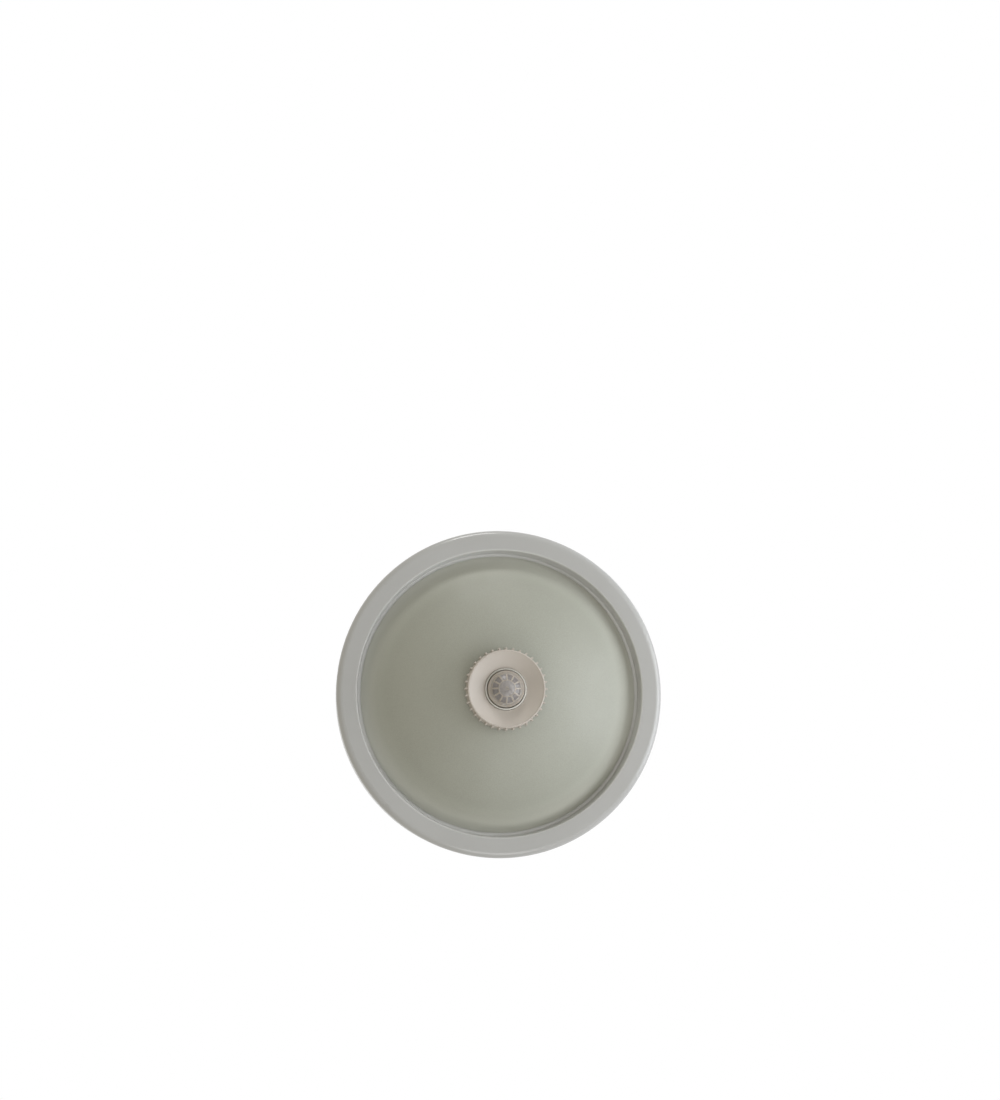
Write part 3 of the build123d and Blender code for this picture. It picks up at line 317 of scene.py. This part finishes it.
def make_board():
    """Circuit board: solder mask over copper tracks, with bare pads."""
    material, tree, shader = new_material("board", (0.03, 0.14, 0.05), 0.32)
    where = place(tree)
    tracks = tree.nodes.new("ShaderNodeTexBrick")
    tracks.inputs["Scale"].default_value = 1 / (6 * MM)
    tracks.inputs["Color1"].default_value = (0.035, 0.17, 0.06, 1)
    tracks.inputs["Color2"].default_value = (0.03, 0.15, 0.05, 1)
    tracks.inputs["Mortar"].default_value = (0.02, 0.085, 0.03, 1)
    tracks.inputs["Mortar Size"].default_value = 0.09
    tree.links.new(where, tracks.inputs["Vector"])
    pads = tree.nodes.new("ShaderNodeTexVoronoi")
    pads.inputs["Scale"].default_value = 1 / (3.4 * MM)
    pads.inputs["Randomness"].default_value = 0.35
    tree.links.new(where, pads.inputs["Vector"])
    dots = ramp(tree, pads.outputs["Distance"], (0.16, 1.0), (0.2, 0.0))
    bare_pad = (0.62, 0.60, 0.55)
    coloured = mix(tree, dots, tracks.outputs["Color"], bare_pad)
    tree.links.new(coloured, shader.inputs["Base Color"])
    bump(tree, shader, tracks.outputs["Fac"], 0.04 * MM)
    return material


def make_earth_sheath():
    """Green and yellow stripes along the earth wire."""
    material, tree, shader = new_material("wire_green_yellow", (0.55, 0.5, 0.05), 0.4)
    where = place(tree)
    wave = tree.nodes.new("ShaderNodeTexWave")
    wave.inputs["Scale"].default_value = 1 / (22 * MM)
    wave.inputs["Distortion"].default_value = 0.6
    wave.bands_direction = "DIAGONAL"
    tree.links.new(where, wave.inputs["Vector"])
    green, yellow = (0.03, 0.24, 0.05), (0.72, 0.6, 0.03)
    stripes = ramp(tree, wave.outputs["Fac"], (0.42, green), (0.5, yellow))
    tree.links.new(stripes, shader.inputs["Base Color"])
    bump(tree, shader, noise(tree, where, 1.0 * MM), 0.03 * MM)
    return material


# Moulded stuff: colour, unevenness, blotch size, roughness, grain size and grain height
MOULDED = {
    "beige_plastic": ((0.49, 0.447, 0.402), 0.035, 22, 0.5, 0.45, 0.03),
    "white_plastic": ((0.66, 0.645, 0.60), 0.03, 20, 0.42, 0.6, 0.02),
    "pale_rubber": ((0.46, 0.46, 0.43), 0.06, 3, 0.7, 0.6, 0.1),
    "grey_rubber": ((0.16, 0.16, 0.155), 0.12, 6, 0.6, 0.5, 0.05),
    "component_blue": ((0.03, 0.09, 0.32), 0.08, 5, 0.3, 0.4, 0.02),
    "component_grey": ((0.42, 0.42, 0.40), 0.08, 5, 0.4, 0.4, 0.02),
    "component_black": ((0.03, 0.03, 0.035), 0.2, 5, 0.3, 0.4, 0.02),
    "black_glass": ((0.02, 0.02, 0.022), 0.3, 4, 0.12, 2, 0.03),
    "terminal_plastic": ((0.66, 0.65, 0.60), 0.04, 7, 0.35, 0.5, 0.02),
    "wire_brown": ((0.16, 0.065, 0.03), 0.1, 8, 0.4, 0.5, 0.02),
    "wire_blue": ((0.03, 0.14, 0.45), 0.1, 8, 0.4, 0.5, 0.02),
    "wire_black": ((0.03, 0.03, 0.03), 0.2, 8, 0.4, 0.5, 0.02),
}
# Metals: colour and roughness
METALS = {
    "zinc_steel": ((0.62, 0.63, 0.64), 0.3),
    "can_metal": ((0.70, 0.68, 0.63), 0.24),
    "brass": ((0.72, 0.54, 0.24), 0.28),
    "aluminium": ((0.76, 0.76, 0.77), 0.3),
}
materials = {
    "white_enamel": make_enamel(),
    "frosted_glass": make_frosted_glass(),
    "lens_plastic": make_lens_plastic(),
    "wire_green_yellow": make_earth_sheath(),
    "porcelain": make_porcelain(),
    "opal_glass": make_opal_glass(),
    "board": make_board(),
}
for stuff, values in MOULDED.items():
    materials[stuff] = mottled(stuff, *values)
for stuff, values in METALS.items():
    materials[stuff] = make_metal(stuff, *values)

# Every carried-over solid gets the material of its slot in the record
for row in frame["record"]["subparts"]:
    mesh = nodes[row["node"]].data
    mesh.materials.clear()
    mesh.materials.append(materials[row["material_slot"]])


# Mesh helpers


def add_mesh(name, points, faces, body, slot_name):
    """A smooth mesh piece of its slot's material that rides on a body."""
    mesh = bpy.data.meshes.new(name)
    mesh.from_pydata(points, [], faces)
    mesh.update()
    piece = bpy.data.objects.new(name, mesh)
    bpy.context.scene.collection.objects.link(piece)
    mesh.materials.append(materials[slot_name])
    for polygon in mesh.polygons:
        polygon.use_smooth = True
    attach(piece, body)
    return piece


def closed_grid(rows):
    """Points and faces of a tube whose rows are rings of the same count, closed both ways."""
    count = len(rows[0])
    points = [point for row in rows for point in row]
    faces = []
    for row in range(len(rows)):
        low, high = row * count, (row + 1) % len(rows) * count
        for step in range(count):
            beside = (step + 1) % count
            faces.append((low + step, high + step, high + beside, low + beside))
    return points, faces


def capped_grid(rows, first_pole, last_pole):
    """Points and faces of a turned body whose two ends are closed by a fan to a pole."""
    count = len(rows[0])
    points = [point for row in rows for point in row]
    faces = []
    for row in range(len(rows) - 1):
        low, high = row * count, (row + 1) * count
        for step in range(count):
            beside = (step + 1) % count
            faces.append((low + step, high + step, high + beside, low + beside))
    for pole, row in ((first_pole, 0), (last_pole, len(rows) - 1)):
        points.append(pole)
        for step in range(count):
            beside = (step + 1) % count
            corners = (len(points) - 1, row * count + step, row * count + beside)
            faces.append(corners if row == 0 else corners[::-1])
    return points, faces


def ease(value):
    """Smooth step from 0 to 1."""
    value = min(1.0, max(0.0, value))
    return value * value * (3 - 2 * value)


# Points round a thread, and rings of points in each of its turns
THREAD_AROUND = 96
THREAD_PER_TURN = 12


def ring(place_of, along, radius):
    """One ring of points of a sleeve."""
    return [place_of(along, tau * number / THREAD_AROUND, radius) for number in range(THREAD_AROUND)]


def threaded_sleeve(place_of, start, end, radius, back_radius, ridge, pitch, run_out, sharp):
    """Rings of a sleeve along an axis whose wall carries one helical ridge that fades at both ends.

    place_of turns (along, angle, radius) into a point. A positive ridge stands outwards.
    """
    steps = max(4, round((end - start) / pitch * THREAD_PER_TURN))
    rows = []
    for step in range(steps + 1):
        along = start + (end - start) * step / steps
        fade = ease((along - start) / run_out) * ease((end - along) / run_out)
        row = []
        for number in range(THREAD_AROUND):
            angle = tau * number / THREAD_AROUND
            phase = (along / pitch - angle / tau) % 1
            wave = (0.5 + 0.5 * cos(tau * phase)) ** sharp
            row.append(place_of(along, angle, radius + ridge * wave * fade))
        rows.append(row)
    return rows + [ring(place_of, end, back_radius), ring(place_of, start, back_radius)]


# Threads of the neck and the nut, half a pitch apart so that their ridges mesh
NECK_THREAD_START = 66 * MM
NECK_THREAD_STOP = 0.3 * MM
NECK_THREAD_BACK = 0.5 * MM
NECK_THREAD_RUN_OUT = 0.7 * MM
NUT_THREAD_MARGIN = 0.1 * MM
NUT_THREAD_STOP = 0.5 * MM
NUT_THREAD_BACK = 0.6 * MM
NUT_THREAD_RUN_OUT = 1.0 * MM
NUT_THREAD_RIDGE = 0.42 * MM
NUT_THREAD_SHARPNESS = 1.6
WALL_SKIN = 0.02 * MM


def about_light_axis(along, angle, radius):
    """A point about the light's axis; along is counted down from the ceiling."""
    return (radius * cos(angle), radius * sin(angle), -along)


def half_pitch_on(along, angle, radius):
    """The same point, half a turn on."""
    return about_light_axis(along, angle + pi, radius)


def make_nut_threads():
    """Outer thread of the neck and inner thread of the nut."""
    rows = threaded_sleeve(
        about_light_axis,
        NECK_THREAD_START,
        -NECK_END_Z - NECK_THREAD_STOP,
        NECK_RADIUS + WALL_SKIN,
        NECK_RADIUS - NECK_THREAD_BACK,
        NUT_THREAD_RIDGE,
        NUT_THREAD_PITCH,
        NECK_THREAD_RUN_OUT,
        NUT_THREAD_SHARPNESS,
    )
    add_mesh("neck_thread", *closed_grid(rows), "base", "white_plastic")
    rows = threaded_sleeve(
        half_pitch_on,
        -NUT_SPIGOT_END_Z + NUT_THREAD_MARGIN,
        -NUT_LIP_Z - NUT_THREAD_STOP,
        NUT_BORE_RADIUS - WALL_SKIN,
        NUT_BORE_RADIUS + NUT_THREAD_BACK,
        -NUT_THREAD_RIDGE,
        NUT_THREAD_PITCH,
        NUT_THREAD_RUN_OUT,
        NUT_THREAD_SHARPNESS,
    )
    add_mesh("nut_thread", *closed_grid(rows), "nut", "beige_plastic")


make_nut_threads()

# Lens: clear facets with fine rings between milky bars, and a middle disc of wedges
WINDOW_COUNT = 12
WEDGE_COUNT = 14
DISC_RADIUS = 7.1 * MM
DISC_HUB_RADIUS = 1.6 * MM
DISC_EDGE = 0.25 * MM
DISC_RING_PITCH = 0.9 * MM
WINDOW_INNER = 7.8 * MM
WINDOW_OUTER = 12.8 * MM
WINDOW_EDGE = 0.2 * MM
WINDOW_RING_PITCH = 0.8 * MM
BAR_WIDTH = 1.3 * MM
LENS_WALL = 1.2 * MM
LENS_FOOT_Z = -84.7 * MM
LENS_FOOT_RADIUS = 16.9 * MM
LENS_FOOT_HEIGHT = 1.4 * MM
LENS_ROUNDING = 0.8 * MM
LENS_SHOULDER = [(13.9 * MM, -94.25 * MM), (13.5 * MM, -94.5 * MM)]
LENS_APEX_DENT = 0.1 * MM
LENS_RISE = LENS_DOME_EDGE_Z - LENS_APEX_Z
LENS_SPHERE = (LENS_DOME_RADIUS**2 + LENS_RISE**2) / (2 * LENS_RISE)
LENS_INNER_SPHERE = LENS_SPHERE - LENS_WALL
LENS_CENTRE_Z = LENS_APEX_Z + LENS_SPHERE
# Depths cut into the lens, in mm: the disc's floor, its wedges and rings, the windows' floor and rings
DISC_DEPTH = 0.10
WEDGE_DEPTH = 0.16
DISC_RING_DEPTH = 0.07
WINDOW_DEPTH = 0.28
WINDOW_RING_DEPTH = 0.10
# Steps of the lens mesh
INNER_STEPS = 12
ROUNDING_STEPS = 6
DOME_STEPS = 88
POINTS_PER_WINDOW = 28
# Painted shade: dark colours of the clear facets, standing in for the dark inside seen through them
WINDOW_PAINTED_SHADE = (0.19, 0.175, 0.17)
DISC_PAINTED_SHADE = (0.27, 0.25, 0.24)


def lens_level(radius, sphere):
    """Level of a sphere about the centre of the lens dome."""
    return LENS_CENTRE_Z - sqrt(sphere**2 - radius**2)


def disc_depth(radius, angle):
    """Depth of the middle disc: wedges that rise round it, with fine rings."""
    share = (angle / tau * WEDGE_COUNT) % 1
    rings = (radius / DISC_RING_PITCH) % 1
    edge = min(1.0, (DISC_RADIUS - radius) / DISC_EDGE)
    return (DISC_DEPTH + WEDGE_DEPTH * share + DISC_RING_DEPTH * rings) * MM * edge


def lens_facet(radius, angle):
    """How deep the lens is cut at a point of its dome, and whether the point is on a clear facet."""
    if radius < DISC_RADIUS:
        return disc_depth(radius, angle), radius > DISC_HUB_RADIUS
    if not WINDOW_INNER < radius < WINDOW_OUTER:
        return 0.0, False
    middle = tau / WINDOW_COUNT
    from_middle = (angle % middle) - middle / 2
    to_bar = radius * (middle / 2 - abs(from_middle)) - BAR_WIDTH / 2
    if to_bar < 0:
        return 0.0, False
    across = radius - (WINDOW_INNER + WINDOW_OUTER) / 2
    rings = (sqrt(across**2 + (radius * from_middle) ** 2) / WINDOW_RING_PITCH) % 1
    to_edge = min(to_bar, radius - WINDOW_INNER, WINDOW_OUTER - radius)
    edge = min(1.0, to_edge / WINDOW_EDGE)
    return (WINDOW_DEPTH + WINDOW_RING_DEPTH * rings) * MM * edge, True


def plain_lens_profile():
    """Radius and level from the inner pole round the foot and the collar to the edge of the dome."""
    profile = []
    for step in range(1, INNER_STEPS + 1):
        radius = (LENS_DOME_RADIUS - LENS_WALL) * step / INNER_STEPS
        profile.append((radius, lens_level(radius, LENS_INNER_SPHERE)))
    bore = LENS_COLLAR_RADIUS - LENS_WALL
    profile += [
        (bore, LENS_COLLAR_Z + LENS_WALL),
        (bore, LENS_FOOT_Z),
        (LENS_FOOT_RADIUS, LENS_FOOT_Z),
        (LENS_FOOT_RADIUS, LENS_FOOT_Z - LENS_FOOT_HEIGHT),
        (LENS_COLLAR_RADIUS, LENS_FOOT_Z - LENS_FOOT_HEIGHT),
    ]
    for step in range(ROUNDING_STEPS + 1):
        turn = pi / 2 * step / ROUNDING_STEPS
        radius = LENS_COLLAR_RADIUS - LENS_ROUNDING + LENS_ROUNDING * cos(turn)
        profile.append((radius, LENS_COLLAR_Z + LENS_ROUNDING - LENS_ROUNDING * sin(turn)))
    return profile + LENS_SHOULDER


def dome_profile():
    """Radius and level of the lens dome from its edge towards its apex."""
    radii = [LENS_DOME_RADIUS * step / DOME_STEPS for step in range(DOME_STEPS, 0, -1)]
    return [(radius, lens_level(radius, LENS_SPHERE)) for radius in radii]


def make_lens():
    """The lens cap with its facets cut in."""
    around = WINDOW_COUNT * POINTS_PER_WINDOW
    angles = [tau * number / around for number in range(around)]
    plain = plain_lens_profile()
    rows = []
    clear = []
    for number, (radius, level) in enumerate(plain + dome_profile()):
        on_dome = number >= len(plain)
        row = []
        for angle in angles:
            depth, is_clear = lens_facet(radius, angle) if on_dome else (0.0, False)
            row.append((radius * cos(angle), radius * sin(angle), level + depth))
            clear.append(is_clear)
        rows.append(row)
    inner_pole = (0, 0, lens_level(0, LENS_INNER_SPHERE))
    apex = (0, 0, LENS_APEX_Z + LENS_APEX_DENT)
    points, faces = capped_grid(rows, inner_pole, apex)
    clear += [False, False]
    piece = add_mesh("lens_dome", points, faces, "base", "lens_plastic")
    # The facets get painted shade, dark for the inside seen through them
    piece.data.materials.append(make_lens_window("lens_window", WINDOW_PAINTED_SHADE))
    piece.data.materials.append(make_lens_window("lens_disc", DISC_PAINTED_SHADE))
    for polygon in piece.data.polygons:
        if all(clear[index] for index in polygon.vertices):
            in_disc = polygon.center.xy.length < DISC_RADIUS
            polygon.material_index = 2 if in_disc else 1
    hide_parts("lens_cap")


make_lens()

# Rolled threads of the bulb caps and the socket shells
LAMP_PITCH = 3.63 * MM
LAMP_THREAD_SHARPNESS = 1.0
CAP_SHEET = 0.4 * MM
CAP_THREAD_DEPTH = 1.0 * MM
CAP_RUN_OUT = 2.5 * MM
CAP_END_RADIUS = 8.5 * MM
CAP_TAPER = 3.0 * MM
SHELL_THREAD_DEPTH = 0.5 * MM
SHELL_RUN_OUT = 1.5 * MM
SHELL_BACK = 0.1 * MM
SHELL_LENGTH = 24.0 * MM
SHELL_RECESS = 3.0 * MM


def about_lamp_axis(side):
    """Turns (along, angle, radius) into a point about one lamp's axis; along runs from cap to crown."""

    def place_of(along, angle, radius):
        return (side * along, side * (LAMP_OFFSET + radius * cos(angle)), LAMP_Z + radius * sin(angle))

    return place_of


def make_bulb_cap(number, place_of):
    """Threaded cap of a bulb, tapered to its end."""
    start = BULB_CAP_EDGE_X - BULB_CAP_STRAIGHT
    rows = threaded_sleeve(
        place_of,
        start,
        BULB_CAP_EDGE_X,
        BULB_CAP_RADIUS,
        BULB_CAP_RADIUS - CAP_THREAD_DEPTH - CAP_SHEET,
        -CAP_THREAD_DEPTH,
        LAMP_PITCH,
        CAP_RUN_OUT,
        LAMP_THREAD_SHARPNESS,
    )
    end_radii = (CAP_END_RADIUS - CAP_SHEET, CAP_END_RADIUS)
    taper = [ring(place_of, start - CAP_TAPER, radius) for radius in end_radii]
    name = f"bulb_cap_thread_{number}"
    piece = add_mesh(name, *closed_grid(taper + rows), f"bulb_{number}", "aluminium")
    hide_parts(f"bulb_cap_{number}")


def make_shell_thread(number, place_of):
    """Thread inside the screw shell of a lampholder."""
    mouth = HOLDER_MOUTH_X - SHELL_RECESS
    rows = threaded_sleeve(
        place_of,
        mouth - SHELL_LENGTH,
        mouth,
        SHELL_RADIUS - CAP_SHEET,
        SHELL_RADIUS - SHELL_BACK,
        -SHELL_THREAD_DEPTH,
        LAMP_PITCH,
        SHELL_RUN_OUT,
        LAMP_THREAD_SHARPNESS,
    )
    add_mesh(f"shell_thread_{number}", *closed_grid(rows), "base", "can_metal")


for lamp_number, lamp_side in ((1, 1), (2, -1)):
    make_bulb_cap(lamp_number, about_lamp_axis(lamp_side))
    make_shell_thread(lamp_number, about_lamp_axis(lamp_side))

# Raised scale marks round the two knobs, over a sweep in degrees
MARK_COUNT = 7
MARK_SWEEP = 150
MARK_INNER = 4.2 * MM
MARK_OUTER = 5.0 * MM
MARK_WIDTH = 0.35 * MM
MARK_HEIGHT = 0.15 * MM
MARK_ROOT = 0.05 * MM


def add_mark(points, faces, knob, turn):
    """Adds one small block that points away from its knob."""
    along = Vector((cos(turn), sin(turn), 0))
    beside = Vector((-sin(turn), cos(turn), 0)) * MARK_WIDTH / 2
    base = len(points)
    for level in (SHOULDER_Z + MARK_ROOT, SHOULDER_Z - MARK_HEIGHT):
        for reach, way in ((MARK_INNER, -1), (MARK_OUTER, -1), (MARK_OUTER, 1), (MARK_INNER, 1)):
            points.append(tuple(Vector((*knob, level)) + along * reach + beside * way))
    faces.append((base, base + 1, base + 2, base + 3))
    faces.append((base + 7, base + 6, base + 5, base + 4))
    for corner in range(4):
        after = (corner + 1) % 4
        faces.append((base + corner, base + 4 + corner, base + 4 + after, base + after))


def make_scale_marks(name, knob_angle):
    """The fan of marks at one knob."""
    knob = (KNOB_CIRCLE * cos(radians(knob_angle)), KNOB_CIRCLE * sin(radians(knob_angle)))
    points = []
    faces = []
    for number in range(MARK_COUNT):
        from_start = MARK_SWEEP * number / (MARK_COUNT - 1)
        add_mark(points, faces, knob, radians(knob_angle - MARK_SWEEP / 2 + from_start))
    piece = add_mesh(f"{name}_marks", points, faces, "base", "white_plastic")
    for polygon in piece.data.polygons:
        polygon.use_smooth = False


for dial_name, dial_angle in KNOB_ANGLES.items():
    make_scale_marks(dial_name, dial_angle)

# Camera below the light, in the photograph's place
RIM_VIEW_POINT = Vector((0, 0, -46 * MM))
CAMERA_SLANT = (-0.1083, 0.0604, -1.0)
CAMERA_DISTANCE = 1.5
CAMERA_LENS = 53.36
CAMERA_SENSOR = 36
CAMERA_PITCH = radians(4.979)
CAMERA_YAW = radians(0.02)
CAMERA_RANGE = (0.05, 100)


def make_camera():
    """The camera, with the photograph's right along the light's X axis."""
    back = Vector(CAMERA_SLANT).normalized()
    up = Vector((0, -1, 0))
    right = up.cross(back).normalized()
    up = back.cross(right)
    turn = Matrix((right, up, back)).transposed()
    turn = turn @ Matrix.Rotation(CAMERA_PITCH, 3, "X") @ Matrix.Rotation(CAMERA_YAW, 3, "Y")
    data = bpy.data.cameras.new("camera")
    data.lens = CAMERA_LENS
    data.sensor_width = CAMERA_SENSOR
    data.clip_start, data.clip_end = CAMERA_RANGE
    camera = bpy.data.objects.new("camera", data)
    camera.matrix_world = Matrix.Translation(RIM_VIEW_POINT + back * CAMERA_DISTANCE) @ turn.to_4x4()
    bpy.context.scene.collection.objects.link(camera)
    bpy.context.scene.camera = camera


make_camera()

# Soft studio light: a world that is bright and cool on the +X side and dim and warm on the other
WORLD_DIM = (0.532, 0.489, 0.383)
WORLD_BRIGHT = (0.661, 0.681, 0.708)
FLOOR_HALF_WIDTH = 30.0
FLOOR_Z = -2.6
FLOOR_COLOUR = (0.8, 0.8, 0.8)
FLOOR_WHITE_SHARE = 0.9
# Lamps: place, side, power and colour
LAMPS = {
    "side_lamp": ((0.90, 0.0, -0.45), 0.8, 6.6, (0.97, 1.0, 1.04)),
    "top_lamp": ((-0.1, -1.3, -0.35), 0.35, 4.6, WHITE),
    "low_lamp": ((0.1, 0.9, -0.9), 0.5, 2.5, WHITE),
}


def background_rays(tree):
    """1 for rays that should meet the white background: seen, mirrored or let through."""
    path = tree.nodes.new("ShaderNodeLightPath")
    total = path.outputs["Is Camera Ray"]
    for name in ("Is Glossy Ray", "Is Transmission Ray"):
        join = tree.nodes.new("ShaderNodeMath")
        join.operation = "MAXIMUM"
        tree.links.new(total, join.inputs[0])
        tree.links.new(path.outputs[name], join.inputs[1])
        total = join.outputs[0]
    return total


def make_world():
    """White where it is seen or mirrored, and for other rays shaded from side to side."""
    world = bpy.data.worlds.new("studio")
    bpy.context.scene.world = world
    world.use_nodes = True
    tree = world.node_tree
    tree.nodes.clear()
    coordinates = tree.nodes.new("ShaderNodeTexCoord")
    parts = tree.nodes.new("ShaderNodeSeparateXYZ")
    tree.links.new(coordinates.outputs["Generated"], parts.inputs[0])
    across = tree.nodes.new("ShaderNodeMath")
    across.operation = "MULTIPLY_ADD"
    across.inputs[1].default_value = 0.5
    across.inputs[2].default_value = 0.5
    tree.links.new(parts.outputs["X"], across.inputs[0])
    shade = mix(tree, across.outputs[0], WORLD_DIM, WORLD_BRIGHT)
    colour = mix(tree, background_rays(tree), shade, WHITE)
    sky = tree.nodes.new("ShaderNodeBackground")
    out = tree.nodes.new("ShaderNodeOutputWorld")
    tree.links.new(colour, sky.inputs["Color"])
    tree.links.new(sky.outputs[0], out.inputs[0])


def make_floor_material():
    """Pale matt stuff that turns nearly white where it is seen or mirrored."""
    material = bpy.data.materials.new("floor")
    material.use_nodes = True
    tree = material.node_tree
    tree.nodes.clear()
    plain = tree.nodes.new("ShaderNodeBsdfDiffuse")
    plain.inputs["Color"].default_value = (*FLOOR_COLOUR, 1)
    white = tree.nodes.new("ShaderNodeEmission")
    share = tree.nodes.new("ShaderNodeMath")
    share.operation = "MULTIPLY"
    share.inputs[1].default_value = FLOOR_WHITE_SHARE
    tree.links.new(background_rays(tree), share.inputs[0])
    blend = tree.nodes.new("ShaderNodeMixShader")
    out = tree.nodes.new("ShaderNodeOutputMaterial")
    tree.links.new(share.outputs[0], blend.inputs[0])
    tree.links.new(plain.outputs[0], blend.inputs[1])
    tree.links.new(white.outputs[0], blend.inputs[2])
    tree.links.new(blend.outputs[0], out.inputs[0])
    return material


def make_floor():
    """A wide floor far below the camera."""
    corners = ((-1, -1), (1, -1), (1, 1), (-1, 1))
    points = [(x * FLOOR_HALF_WIDTH, y * FLOOR_HALF_WIDTH, FLOOR_Z) for x, y in corners]
    mesh = bpy.data.meshes.new("floor")
    mesh.from_pydata(points, [], [(0, 1, 2, 3)])
    mesh.materials.append(make_floor_material())
    floor = bpy.data.objects.new("floor", mesh)
    bpy.context.scene.collection.objects.link(floor)
    floor.visible_diffuse = False


def add_lamp(name, where, side, power, colour):
    """A square soft lamp that faces the light."""
    data = bpy.data.lights.new(name, "AREA")
    data.shape = "SQUARE"
    data.size = side
    data.energy = power
    data.color = colour
    lamp = bpy.data.objects.new(name, data)
    lamp.location = where
    lamp.rotation_mode = "QUATERNION"
    lamp.rotation_quaternion = (RIM_VIEW_POINT - Vector(where)).to_track_quat("-Z", "Y")
    bpy.context.scene.collection.objects.link(lamp)


make_world()
make_floor()
for lamp_name, lamp_values in LAMPS.items():
    add_lamp(lamp_name, *lamp_values)

bpy.context.scene.view_settings.view_transform = "Standard"
